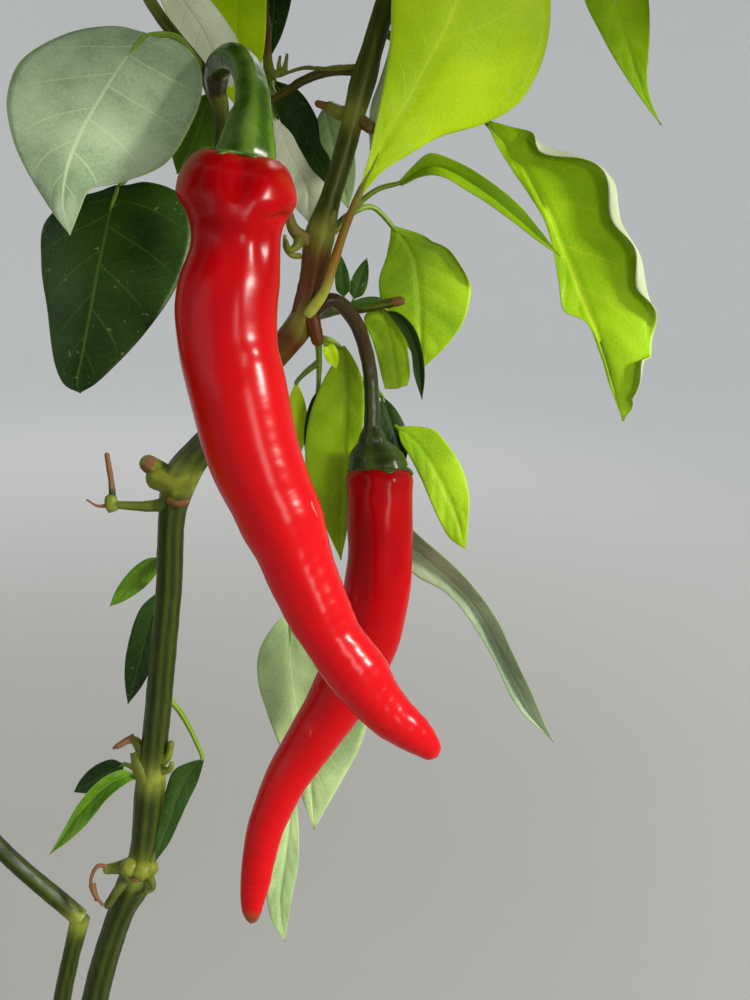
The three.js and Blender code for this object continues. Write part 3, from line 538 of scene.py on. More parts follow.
# %% [markdown]
# ## The stems and boughs
# The main stem leans from its flared foot to a fork, a side stem leaves it low down, and three boughs
# rise from the fork and divide again. Their lines and widths are those of the solids, so the ribbed
# skins lie on them. Each skin replaces its solids, because a faceted rod can't show the ribs, swollen
# joints and scars that make a stem look alive.

# %% Lines of the limbs
stem_fork = np.array([77.0, 8.0, 344.0])
low_joint = seen(140, 865, 311)
middle_joint = seen(152, 770, 304)
top_joint = seen(180, 480, 277)
left_joint = seen(218, 98, 262)
right_low_joint = seen(303, 318, 268)
right_joint = seen(320, 235, 262)
rear_joint = seen(268, 68, 295)
side_fork = seen(80, 918, 315)
stem_radius, side_radius = 4.3, 3.3
left_radius, right_radius, thin_radius = 2.6, 3.9, 2.0


def scaled(radius, *stations):
    """Stations of (share of the length, share of the half width)."""
    return [(share, radius * part) for share, part in stations]


limb_plans = {
    "main_stem": ([(0, 0, -6), (0, 0, 6), (6, 0, 50), seen(95, 1000, 323), seen(118, 920, 316), low_joint,
                   middle_joint, seen(168, 600, 288), top_joint, stem_fork],
                  [(0, 10.35), (0.03, 7.65), (0.09, 5.9)] + scaled(
                      stem_radius, (0.3, 1.08), (0.5, 1), (0.535, 1.3), (0.57, 1), (0.63, 1.15), (0.68, 0.97),
                      (0.9, 0.92), (0.94, 1.2), (0.97, 1), (0.99, 1)) + [(1, 2.6)]),
    "side_stem": ([(5, 0, 42), (-2, -4, 70), seen(62, 1000, 320), side_fork],
                  scaled(side_radius, (0, 1.2), (0.2, 1), (0.9, 0.9), (1, 1))),
    "side_arm": ([side_fork, seen(0, 848, 305), (-22, -3, 232), (-38, -2, 262)],
                 [(0, side_radius * 0.9), (1, thin_radius)]),
    "right_bough": ([stem_fork, seen(285, 345, 272), right_low_joint, right_joint, seen(345, 150, 258),
                     seen(362, 85, 255), seen(387, 0, 252), (140, 24, 502)],
                    scaled(right_radius, (0, 0.9), (0.1, 0.8), (0.2, 1.1), (0.28, 0.85), (0.36, 1.15),
                           (0.44, 0.78), (0.56, 0.8), (0.62, 0.95), (0.68, 0.8), (1, 0.7))),
    "left_bough": ([stem_fork, (76, 13, 380), (77, 18, 415), left_joint, seen(150, 0, 262), (42, 36, 500)],
                   scaled(left_radius, (0, 1), (0.3, 0.8), (0.52, 0.78), (0.57, 1.1), (0.63, 0.68),
                          (1, 0.65))),
    "rear_bough": ([stem_fork, seen(252, 231, 282), seen(274, 130, 290), rear_joint, seen(264, 0, 300),
                    (86, 100, 518)],
                   [(0, thin_radius), (0.55, 1.6), (0.64, 1.6), (0.68, 2.1), (0.72, 1.5), (1, 1.5)]),
}
for name, places, thick, thin in (
    ("left_outer_bough", [(50, 33, 482), (26, 30, 497), (-6, 24, 505), (-34, 20, 510)], 1.6, 1.5),
    ("left_front_bough", [(54, 31, 472), (48, 10, 490), (40, -20, 502), (34, -48, 510)], 1.6, 1.5),
    ("right_outer_bough", [(131, 20, 479), (156, 8, 495), (184, -6, 503), (206, -14, 508)], 2, 1.5),
    ("right_front_bough", [(126, 19, 465), (132, -2, 488), (142, -30, 502), (150, -58, 510)], 2, 1.5),
    ("rear_left_bough", [(85, 78, 480), (66, 92, 494), (42, 106, 501), (20, 116, 505)], 1.5, 1.4),
    ("rear_right_bough", [(86, 86, 494), (106, 98, 502), (134, 110, 506), (156, 118, 508)], 1.5, 1.4),
):
    limb_plans[name] = (places, [(0, thick), (1, thin)])
limb_lines = {name: Line(places) for name, (places, _) in limb_plans.items()}
limb_widths = {name: widths(stations) for name, (_, stations) in limb_plans.items()}
print({name: round(line.length) for name, line in limb_lines.items()})

# %% Skins of the stems
crotch = near([stem_fork, right_low_joint, right_joint, seen(357, 119, 256), left_joint, rear_joint,
               seen(150, 0, 262), (50, 33, 482), (131, 20, 479), (126, 19, 465), (86, 82, 486)], 4.5)
# Partly painted reflection: the red flush on the right bough beside the front fruit stands partly for the
# fruit's red light on it.
red_flush_and_fruit_reflection = near([seen(312, 290, 266), seen(306, 312, 268), seen(318, 258, 264), seen(292, 335, 271)], 7.5)
purple = near([seen(268, 50, 297), seen(266, 20, 299)], 6)
knuckle = near([low_joint, middle_joint, top_joint, stem_fork], 5.5)
ground_share = 6.0 / limb_lines["main_stem"].length
main_rods = Rods()
main_rods.add(limb_lines["main_stem"], limb_widths["main_stem"], 1.2, start=ground_share, joint=knuckle)
cut_end = near([seen(149, 464, 276)], 1.6)
for line, low, high, marks in (
    ([top_joint, seen(166, 474, 277), seen(149, 464, 276)], 3.2, 2.9, {"joint": 0.8, "dry": cut_end}),
    ([top_joint, seen(165, 503, 277), seen(110, 505, 274)], 2.4, 1.25, {"joint": 0.35}),
    ([seen(116, 505, 274), seen(111, 508, 274), seen(111, 500, 274)], 1.5, 1.9, {"joint": 0.7}),
    ([seen(112, 507, 274), seen(112, 488, 274), seen(107, 455, 273)], 1.1, 0.8,
     {"dry": near([seen(108, 458, 273), seen(110, 474, 273)], 5)}),
    ([seen(110, 505, 274), seen(98, 506, 273), seen(87, 500, 272)], 0.7, 0.25, {"dry": 1.0}),
    ([low_joint, seen(108, 869, 309)], 3.4, 1.7, {"joint": 0.9}),
    ([seen(112, 868, 309), seen(98, 866, 307), seen(91, 880, 306), seen(96, 900, 306)], 0.7, 0.5,
     {"dry": 1.0}),
    ([seen(92, 884, 306), seen(96, 896, 305), seen(103, 905, 305)], 1.1, 0.5, {"dry": 1.0}),
    ([middle_joint, seen(133, 740, 302), seen(118, 746, 300)], 2.6, 1.0,
     {"joint": 0.4, "dry": near([seen(120, 742, 300)], 4)}),
    ([seen(134, 736, 302), seen(122, 742, 301), seen(114, 748, 300)], 0.9, 0.5, {"dry": 1.0}),
    ([middle_joint, seen(168, 756, 302), seen(171, 744, 300)], 1.8, 1.1, {"joint": 0.8}),
    ([middle_joint, seen(169, 770, 301), seen(172, 764, 299)], 1.6, 0.9, {"joint": 0.8}),
    ([low_joint, seen(150, 878, 308), seen(153, 888, 307), seen(146, 892, 306)], 2.2, 0.8, {"joint": 0.4}),
    ([seen(128, 878, 309), seen(118, 890, 307), seen(108, 905, 308)], 1.7, 1.3, {"joint": 0.3}),
):
    main_rods.add(line, widths([(0, low), (1, high)]), 0.8, **marks)
side_rods = Rods()
for name, rounded in (("side_stem", False), ("side_arm", True)):
    side_rods.add(limb_lines[name], limb_widths[name], 1.4, rounded=rounded, joint=near([side_fork], 5))
bough_rods = Rods()
for name in list(limb_plans)[3:]:
    bough_rods.add(limb_lines[name], limb_widths[name], 1.4, rounded=False, joint=crotch,
                   flush=lambda place: min(1.0, red_flush_and_fruit_reflection(place) + 0.9 * purple(place)))
main_stem = main_rods.make("main_stem_skin", stem_rind, 40, 8, 0.045, 0.5, 260)
side_stem = side_rods.make("side_stem_skin", stem_rind, 28, 7, 0.04, 0.4, 260)
boughs = bough_rods.make("bough_skins", bough_rind, 24, 6, 0.045, 0.35, 280)
for vertex in main_stem.data.vertices:
    vertex.co.z = max(vertex.co.z, 0.0)
pieces = [(main_stem, ["main_stem"], "stem"), (side_stem, ["side_stem", "side_arm"], "bough"),
          (boughs, list(limb_plans)[3:], "bough")]
print("stems", sum(len(piece.data.polygons) for piece, _, _ in pieces), "faces")

# %% [markdown]
# ## The ripe fruits
# A ripe chilli is a glossy skin drawn over three lobes that show at its shoulder, twist and fade towards
# the tip, with dents, folds and fine cross wrinkles. It is described as a draughtsman draws it, by its
# two edges: pairs of facing places down its sides. A ring of skin is hung between each pair, turned so
# that it is seen edge on, and the dents are pressed in where they are seen. A subdivided cage would be
# quicker, but its outline would drift from the drawn edges.


# %% A fruit between its two edges
fruit_rings = 220


class Fruit:
    """A fruit's skin: rings between a left and a right edge, read by share and turn."""

    def __init__(self, lefts, rights, deep, lobes, viewed=False):
        lefts, rights = Line(lefts), Line(rights)
        self.shares = np.linspace(0, 1, fruit_rings)
        left = np.array([lefts.spot(share) for share in self.shares])
        right = np.array([rights.spot(share) for share in self.shares])
        self.middles = (left + right) / 2
        self.halves = np.linalg.norm(right - left, axis=1) / 2
        self.across = (right - left) / np.maximum(2 * self.halves, 1e-9)[:, None]
        self.across[self.halves < 1e-6] = (1, 0, 0)
        early = int(0.16 * fruit_rings)
        down = np.gradient(self.middles, axis=0)
        down[:early] = down[early]
        square_on = lambda rows: unit_rows(rows - self.across * np.sum(rows * self.across, axis=1)[:, None])
        down = square_on(unit_rows(down))
        self.front = square_on(eye - self.middles) if viewed else np.cross(down, self.across)
        self.down, self.deep, self.lobes = down, deep, lobes

    def ring(self, share, turns):
        """Places round the fruit at one share. A turn of 0 is its right, and a quarter turn its front."""
        read = lambda rows: np.array([np.interp(share, self.shares, rows[:, axis]) for axis in range(3)])
        middle, across, front = read(self.middles), read(self.across), read(self.front)
        half = np.interp(share, self.shares, self.halves)
        swell = 1 + self.lobes * np.cos(3 * turns + 0.6 + 1.2 * share) * math.exp(-(share / 0.3) ** 2)
        sides = np.outer(np.cos(turns) * half * (1 + (swell - 1) * np.sin(turns) ** 2), across)
        return middle + sides + np.outer(np.sin(turns) * half * swell * self.deep, front)

    def grid(self, rows, sides):
        turns = np.arange(sides) * 2 * math.pi / sides
        shares = np.concatenate([np.linspace(0, 0.12, rows // 5, endpoint=False),
                                 np.linspace(0.12, 0.96, rows - 2 * (rows // 5), endpoint=False),
                                 np.linspace(0.96, 1, rows // 5)])
        return shares, turns, np.array([self.ring(share, turns) for share in shares])


def unit_rows(rows):
    """Arrows of length one, with those of no length left as they are."""
    return rows / np.maximum(np.linalg.norm(rows, axis=-1), 1e-9)[..., None]


def outward(grid):
    """Which way the skin faces at each place of a grid that closes on itself."""
    along = np.gradient(grid, axis=0)
    round_ = np.roll(grid, -1, axis=1) - np.roll(grid, 1, axis=1)
    normal = unit_rows(np.cross(round_, along))
    middles = grid.mean(axis=1, keepdims=True)
    return normal if np.sum(normal * (grid - middles)) > 0 else -normal


def as_seen(places):
    """How far across and down the view each place is."""
    ray = places - eye
    depth = ray @ ahead
    across = middle_across + eye_focus * (ray @ rightward) / depth
    return across, middle_down - eye_focus * (ray @ above) / depth


def dented(grid, dents):
    """Presses dents in and swells bumps out, each at a seen place, on the side that faces the viewer."""
    normal = outward(grid)
    facing = np.clip(-(normal @ ahead) * 2 + 0.6, 0, 1)
    across, down = as_seen(grid)
    push = np.zeros(grid.shape[:2])
    for at_across, at_down, wide, tall, lean, height in dents:
        turn = math.radians(lean)
        first = (across - at_across) * math.cos(turn) + (down - at_down) * math.sin(turn)
        second = (down - at_down) * math.cos(turn) - (across - at_across) * math.sin(turn)
        push += height * np.exp(-(first / wide) ** 2 - (second / tall) ** 2) * facing
    return grid + normal * push[..., None]


def ripple(grid, size, seed):
    """Soft unevenness of about a size in millimetres, between -1 and 1."""
    random = np.random.default_rng(seed)
    total = np.zeros(grid.shape[:2])
    for _ in range(7):
        way = random.normal(size=3)
        way /= np.linalg.norm(way)
        total += np.sin(grid @ way * 2 * math.pi / (size * random.uniform(0.7, 1.6)) + random.uniform(0, 6.3))
    return total / 4


def outward_faces(places, faces):
    """Faces of a closed mesh, turned over if they look inwards."""
    volume = 0.0
    for face in faces:
        for index in range(1, len(face) - 1):
            volume += np.dot(places[face[0]], np.cross(places[face[index]], places[face[index + 1]]))
    return faces if volume > 0 else [face[::-1] for face in faces]


def closed_grid(name, grid, marks):
    """A mesh of a grid of rings whose first and last rings are single places."""
    rows, sides = grid.shape[:2]
    places = [grid[0, 0]] + [place for ring in grid[1:-1] for place in ring] + [grid[-1, 0]]
    corner = lambda row, side: 1 + (row - 1) * sides + side % sides
    faces = [(0, corner(1, side + 1), corner(1, side)) for side in range(sides)]
    faces += [(corner(row, side), corner(row, side + 1), corner(row + 1, side + 1), corner(row + 1, side))
              for row in range(1, rows - 2) for side in range(sides)]
    faces += [(len(places) - 1, corner(rows - 2, side), corner(rows - 2, side + 1)) for side in range(sides)]
    made = mesh_object(name, places, outward_faces(np.array(places), faces))
    for mark, values in marks.items():
        leave_mark(made.data, mark, np.concatenate([values[0, :1], values[1:-1].ravel(), values[-1, :1]]))
    return made


print("fruits can be drawn by their edges")

# %% The two fruits in front
front_edges = [
    (236, 158, 236, 158), (223, 151, 249, 155), (212, 148, 259, 155), (202, 149, 268, 157),
    (192, 155, 278, 162), (184, 165, 287, 170), (178, 180, 292, 179), (177, 192, 296, 191),
    (181, 201, 297, 202), (187, 210, 293, 212), (191, 220, 286, 222), (192, 232, 281, 235),
    (191, 248, 280, 264), (181, 275, 280, 286), (176, 305, 278, 306), (177, 333, 277, 328),
    (181, 363, 278, 349), (187, 390, 284, 370), (193, 416, 289, 394), (200, 442, 293, 417),
    (209, 468, 298, 440), (220, 493, 305, 462), (233, 517, 312, 484), (243, 539, 321, 508),
    (256, 561, 327, 533), (267, 585, 333, 557), (280, 609, 341, 580), (292, 632, 350, 602),
    (307, 654, 359, 625), (322, 677, 372, 643), (339, 699, 386, 661), (357, 717, 396, 682),
    (378, 735, 411, 703), (400, 748, 427, 720), (418, 756, 438, 738), (429, 760, 441, 748),
    (438, 757, 438, 757),
]
second_edges = [
    (380, 474, 380, 474), (362, 468, 398, 468), (350, 470, 409, 470), (346, 478, 413, 478),
    (347, 492, 413, 492), (347, 510, 413, 510), (347, 530, 413, 532), (348, 552, 412, 554),
    (345, 577, 411, 584), (341, 602, 406, 614), (336, 625, 399, 645), (329, 648, 387, 673),
    (318, 671, 372, 700), (307, 696, 355, 724), (294, 719, 337, 748), (281, 743, 319, 771),
    (268, 768, 304, 791), (256, 797, 292, 814), (247, 825, 282, 837), (243, 854, 275, 862),
    (241, 883, 269, 888), (241, 902, 264, 904), (243, 914, 260, 916), (247, 921, 256, 922),
    (251, 924, 251, 924),
]
front_depths = ([148, 232, 310, 400, 480, 560, 622, 690, 757], [224, 223, 224, 226, 229, 233, 236, 240, 245])
second_depths = ([466, 500, 540, 600, 660, 715, 765, 820, 920], [289, 288, 290, 295, 300, 303, 306, 308, 310])


def between_edges(edges, depths, **shape):
    rows = [(left, down_left, right, down_right, np.interp((down_left + down_right) / 2, *depths))
            for left, down_left, right, down_right in edges]
    return Fruit([seen(left, down, depth) for left, down, _, _, depth in rows],
                 [seen(right, down, depth) for _, _, right, down, depth in rows], **shape)


front_fruit = between_edges(front_edges, front_depths, deep=1.02, lobes=0.05, viewed=True)
second_fruit = between_edges(second_edges, second_depths, deep=1.0, lobes=0.03, viewed=True)
front_dents = [
    (242, 160, 9, 18, -8, -0.7), (206, 172, 20, 18, 0, 0.5), (270, 178, 16, 15, 20, 1.1),
    (238, 188, 12, 20, -6, -1.3), (214, 216, 20, 13, 0, 1.6), (246, 222, 16, 12, 0, 0.8),
    (284, 219, 16, 6, -14, -1.3), (262, 248, 7, 20, -4, -0.5), (273, 246, 6, 20, 0, 0.25),
    (240, 300, 9, 40, 0, 0.2), (256, 352, 16, 10, 0, 0.6), (205, 330, 12, 34, 0, -0.4),
    (228, 372, 20, 14, 10, -0.35), (300, 600, 6, 60, -28, -0.2),
]
second_dents = [
    (360, 482, 7, 7, 0, -0.7), (392, 480, 6, 8, 0, 0.4), (380, 500, 9, 10, 0, -0.4),
    (372, 590, 6, 40, 8, 0.25), (318, 722, 12, 7, -30, -0.4), (262, 856, 7, 16, 0, 0.2),
]
wrinkle_run = 260


def wrinkled(grid, shares, turns, start, height, pitch, seed):
    """Fine wrinkles across the skin that grow towards the tip, most on one side."""
    run = shares[:, None] * wrinkle_run
    fading = lambda steepness: np.clip((1 - shares) * steepness, 0, 1)[:, None]
    wave = np.sin(run * 2 * math.pi / pitch + 1.3 * np.sin(2 * turns)[None, :] + 3.6 * ripple(grid, 15, seed))
    grown = np.clip((shares - start) / (0.9 - start), 0, 1)[:, None] * fading(14)
    side = (0.35 + 0.65 * np.clip(np.cos(turns - 0.75), 0, 1))[None, :]
    lumps = 0.22 * ripple(grid, 26, seed + 1) * np.clip(shares * 9, 0, 1)[:, None] * fading(9)
    return grid + outward(grid) * (height * wave * grown * side + lumps)[..., None]


def fruit_piece(name, fruit, dents, rows, sides, start, height, pitch, seed, tip=0.0):
    shares, turns, grid = fruit.grid(rows, sides)
    grid = dented(grid, dents) if dents else grid
    grid = wrinkled(grid, shares, turns, start, height, pitch, seed)
    grid[0], grid[-1] = grid[0].mean(axis=0), grid[-1].mean(axis=0)
    brown = np.repeat(np.clip((shares - 0.895) / 0.035, 0, 1)[:, None] * tip, sides, axis=1)
    return closed_grid(name, grid, {"tip": brown, "along": np.repeat(shares[:, None], sides, axis=1)})


front_skin = fruit_piece("front_chilli_skin", front_fruit, front_dents, 300, 84, 0.42, 0.1, 4.3, 3)
second_skin = fruit_piece("second_chilli_skin", second_fruit, second_dents, 200, 72, 0.2, 0.09, 6.0, 8, 1.0)
print("front fruit", len(front_skin.data.polygons), "faces; second", len(second_skin.data.polygons))

# %% Three fruits round the far sides
far_length = 118
far_plans = {
    "left": ((-24, -6, 478), (-8, -6), 5), "right": ((224, -38, 478), (8, 4), 6),
    "rear": ((71, 113, 428), (3, 6), 7),
}
far_profile = widths([(0, 4.5), (0.03, 8.2), (0.08, 9.5), (0.3, 9.025), (0.6, 7.6), (0.85, 4.94),
                      (0.97, 2.66), (1, 0.9)])
far_fruits, far_skins, far_lines = {}, {}, {}
for name, (shoulder, (lean, sway), seed) in far_plans.items():
    shoulder = np.array(shoulder, float)
    tip = shoulder + (lean, sway, -far_length)
    belly = shoulder + (tip - shoulder) * 0.45 - 0.35 * np.array([lean, sway, 0])
    line = far_lines[name] = Line([shoulder, belly, tip])
    rights, lefts = [line.at(0) - (0, 0, 1.2)], [line.at(0) - (0, 0, 1.2)]
    for share in (0.0, 0.004, 0.02, 0.05, *np.linspace(0.09, 0.97, 22), 0.99):
        reach = far_profile(share) * (0.6 if share == 0 else 1) + 0.4 * math.sin(share * 19 + seed)
        middle = line.at(share) + (0.9 * math.sin(share * 9 + seed), 0, 0)
        rights.append(middle + (reach, 0, 0))
        lefts.append(middle - (reach, 0, 0))
    rights.append(tip)
    lefts.append(tip)
    fruit = far_fruits[name] = Fruit(lefts, rights, 0.97, 0.07)
    far_skins[name] = fruit_piece(f"{name}_chilli_skin", fruit, (), 120, 48, 0.3, 0.14, 5.5, seed, 0.4)
print("far fruits", {name: len(skin.data.polygons) for name, skin in far_skins.items()})

# %% [markdown]
# ## The fruit's finish
# The skin is one of the glossiest surfaces in a garden: deep red where it is thick, under a clear wax,
# and painted brighter down towards the tip, which is painted light: sun on the lower half and leaf shade
# on the upper. The wax is the shader's coat. Faint pale scratches and specks keep it from looking like
# plastic, fine creases run round it towards the tip, and the second fruit's tip is browned. The creases
# are noise that is squeezed along the fruit's own length, so they follow its bends.

# %% Red skin
skin_finish = Finish("ripe chilli skin", Coat_Roughness=0.23, Specular_IOR_Level=0.04)
skin_finish.set("Subsurface Weight", 0.1)
skin_finish.set("Subsurface Radius", (0.004, 0.001, 0.0005))
skin_finish.set("Subsurface Scale", 1.0)
cloud = skin_finish.noise(38, 3)
grain = skin_finish.noise(700, 2)
scratch = skin_finish.noise(420, 1, (1, 1, 0.22)).step(0.74, 0.78) * skin_finish.noise(60, 1).step(0.52, 0.62)
run = skin_finish.attribute("along")
red = skin_finish.blend(cloud.step(0.3, 0.7), (134, 0, 4), (162, 1, 6))
# Painted light: the red is brighter down the fruit and darker at the top, for sun on the lower half and leaf
# shade on the upper.
red = skin_finish.blend(run.step(0.15, 0.75) * 0.8, red, (198, 2, 11))
red = skin_finish.blend(scratch * 0.55, red, (250, 132, 118))
red = skin_finish.blend(skin_finish.attribute("tip"), red, (134, 62, 16))
skin_finish.set("Base Color", red)
skin_finish.set("Roughness", grain * 0.08 + scratch * 0.3 + 0.2)
where = skin_finish.node("ShaderNodeSeparateXYZ", None, {"Vector": skin_finish.where})
sides = [Value(skin_finish, where.outputs[axis]) * 0.22 for axis in (0, 1)]
rings = skin_finish.add("ShaderNodeCombineXYZ", None, {"X": run * 0.17, "Y": sides[0], "Z": sides[1]})
creases = skin_finish.add("ShaderNodeTexNoise", None, {"Vector": rings, "Scale": 430.0, "Detail": 2.0})
crease_share = run.step(0.3, 0.65) * 1.6 + run.step(0.6, 0.85) * 2.4 + 0.2
height = cloud * 0.45 + grain * 0.15 + skin_finish.noise(190, 2) * 0.25 + creases * crease_share
skin_finish.relief(height, 0.35, 0.45)
skin_finish.set("Coat Weight", run.step(0.3, 0.7) * 0.22 + (1 - run.step(0.06, 0.14)) * 0.2 + 0.14)
fruit_pieces = {"front": front_skin, "second": second_skin, **far_skins}
for name, skin in fruit_pieces.items():
    skin.data.materials.append(skin_finish.material)
    pieces.append((skin, [f"{name}_chilli"], "ripe_skin"))
print("skins", len(fruit_pieces))

# %% [markdown]
# ## Stalks and calyxes
# Each fruit hangs from a thick stalk that hooks over and swells into the calyx, a green toothed collar
# pressed on the fruit's shoulder. The collar is drawn on the fruit's own skin: it reads places of that
# skin a little way out from the top and lifts them. So it follows every lobe, which a separate disc
# could not do.


# %% Collars and stalks
def calyx(name, fruit, rind, reach, tooth, teeth, seed):
    """A toothed collar on a fruit's shoulder. reach and tooth are shares of the fruit's length."""
    sides, rows, sink = 96, 12, 0.3
    random = np.random.default_rng(seed)
    turns = np.arange(sides) * 2 * math.pi / sides
    uneven = sum(np.cos(turns * wave + random.uniform(0, 6.3)) for wave in (1, 2, 3)) / 3
    points = np.abs(np.cos(turns * teeth / 2 + random.uniform(0, 3))) ** 5
    tooth_lengths = tooth * points * (0.7 + 0.5 * random.random(sides).mean() + 0.3 * uneven)
    rims = reach * (1 + 0.14 * uneven) + tooth_lengths
    skin = np.zeros((rows, sides, 3))
    for side, turn in enumerate(turns):
        for row in range(rows):
            share = max(rims[side] * row / (rows - 1), 1e-4)
            skin[row, side] = fruit.ring(share, np.array([turn]))[0]
    face = outward(skin)
    face[0] = -fruit.down[0]
    run = np.linspace(0, 1, rows)[:, None]
    ribs = 0.22 * np.cos(turns * teeth)[None, :] * run * (1 - run ** 4)
    lift = 0.55 + 1.5 * np.exp(-(run / 0.45) ** 2) + ribs + 0.25 * run ** 6 - 0.2 * run
    top = skin + face * lift[..., None]
    under = skin - face * sink
    ends = [np.tile(sheet[0].mean(axis=0), (1, sides, 1)) for sheet in (top, under)]
    grid = np.concatenate([ends[0], top[1:], under[:0:-1], ends[1]])
    marks = {mark: np.zeros(grid.shape[:2]) for mark in Rods.marks}
    marks["rib"] = np.full(grid.shape[:2], 0.3)
    made = closed_grid(name, grid, marks)
    made.data.materials.append(rind.material)
    return made


def joined(name, parts):
    """Several objects as one."""
    with bpy.context.temp_override(active_object=parts[0], selected_editable_objects=parts):
        bpy.ops.object.join()
    parts[0].name = parts[0].data.name = name
    return parts[0]


far_widths = [(0, 1.9), (0.6, 2.1), (0.82, 3.0), (1, 5.6)]
stalk_plans = {
    "front": (
        [left_joint, seen(213, 84, 259), seen(216, 66, 253), seen(226, 57, 247), seen(240, 61, 241),
         seen(249, 76, 236), seen(252, 94, 232), seen(252, 114, 229), seen(249, 134, 227),
         seen(247, 158, 226)],
        [(0, 2.6), (0.1, 3.3), (0.22, 3.7), (0.4, 3.9), (0.57, 4.1), (0.72, 4.8), (0.83, 6.1), (0.9, 7.2),
         (0.95, 7.8), (1, 7.4)],
        near([seen(214, 84, 258), seen(220, 78, 256), seen(214, 70, 254)], 5.5)),
    "second": (
        [right_low_joint, seen(331, 300, 266), seen(350, 314, 272), seen(362, 337, 277), seen(369, 366, 281),
         seen(372, 397, 284), seen(372, 430, 286), seen(374, 455, 288), seen(380, 474, 289)],
        [(0, 2.8), (0.15, 2.2), (0.5, 2.15), (0.77, 2.5), (0.84, 4.4), (0.9, 7.6), (0.95, 9.0), (1, 9.3)],
        near([seen(331, 302, 266), seen(346, 312, 271), seen(316, 306, 267), seen(362, 340, 277)], 10)),
    "left": ([(-14, 23, 507), (-18, 10, 511), (-23, -3, 502), (-24, -6, 490), (-24, -6, 478)], far_widths,
             0.0),
    "right": ([(196, -11, 506), (206, -24, 511), (220, -36, 502), (224, -38, 490), (224, -38, 478)],
              far_widths, 0.0),
    "rear": ([(86, 80, 484), (80, 96, 484), (72, 110, 462), (71, 113, 440), (71, 113, 428)],
             [(0, 1.9), (0.6, 2.1), (0.85, 3.0), (1, 5.6)], 0.0),
}
collar_sizes = {"front": (0.068, 0.026, 7), "second": (0.082, 0.022, 6)}
# The front stalk's skin runs outside the line of its solid, and on into the fruit.
front_hook = [left_joint, seen(216, 84, 259), seen(219, 67, 253), seen(228, 59, 247), seen(240, 61, 241),
              seen(249, 76, 236), seen(252, 94, 232), seen(252, 114, 229), seen(249, 134, 227),
              seen(246, 158, 226), seen(243, 172, 226)]
fruits = {"front": front_fruit, "second": second_fruit, **far_fruits}
for index, (name, (places, stations, flush)) in enumerate(stalk_plans.items()):
    rods, dry = Rods(), 0.0
    if name == "front":
        places, dry = front_hook, near([left_joint], 1.5)
    rods.add(places, widths(stations), 0.9, rounded=False, flush=flush, dry=dry)
    rind = shaded_rind if name == "second" else stalk_rind
    stalk = rods.make(f"{name}_chilli_stalk_rod", rind, 36, 6, 0.035, 0.5, 240)
    reach, tooth, teeth = collar_sizes.get(name, (0.05, 0.022, 6))
    collar = calyx(f"{name}_chilli_calyx", fruits[name], rind, reach, tooth, teeth, 40 + index)
    whole = joined(f"{name}_chilli_stalk_and_calyx", [stalk, collar])
    pieces.append((whole, [f"{name}_chilli_stalk"], "stalk"))
print("stalks", [piece.name for piece, _, slot in pieces if slot == "stalk"])

# %% [markdown]
# ## Leaf blades
# A chilli leaf is a thin smooth blade. Its sides meet at a sunken midrib, it puffs up a little between
# its side veins, and its margins wave, curl and sometimes roll right over. Each leaf that shows in front
# is drawn by its own outline: rows of three places, left margin, midrib and right margin, from base to
# tip. The blade is then stretched over those rows as a closed thin sheet. One leaf shape copied about
# would not do, because no two leaves here have the same outline.


# %% A blade over its rows
roll_radius, blade_thickness = 1.3, 0.32


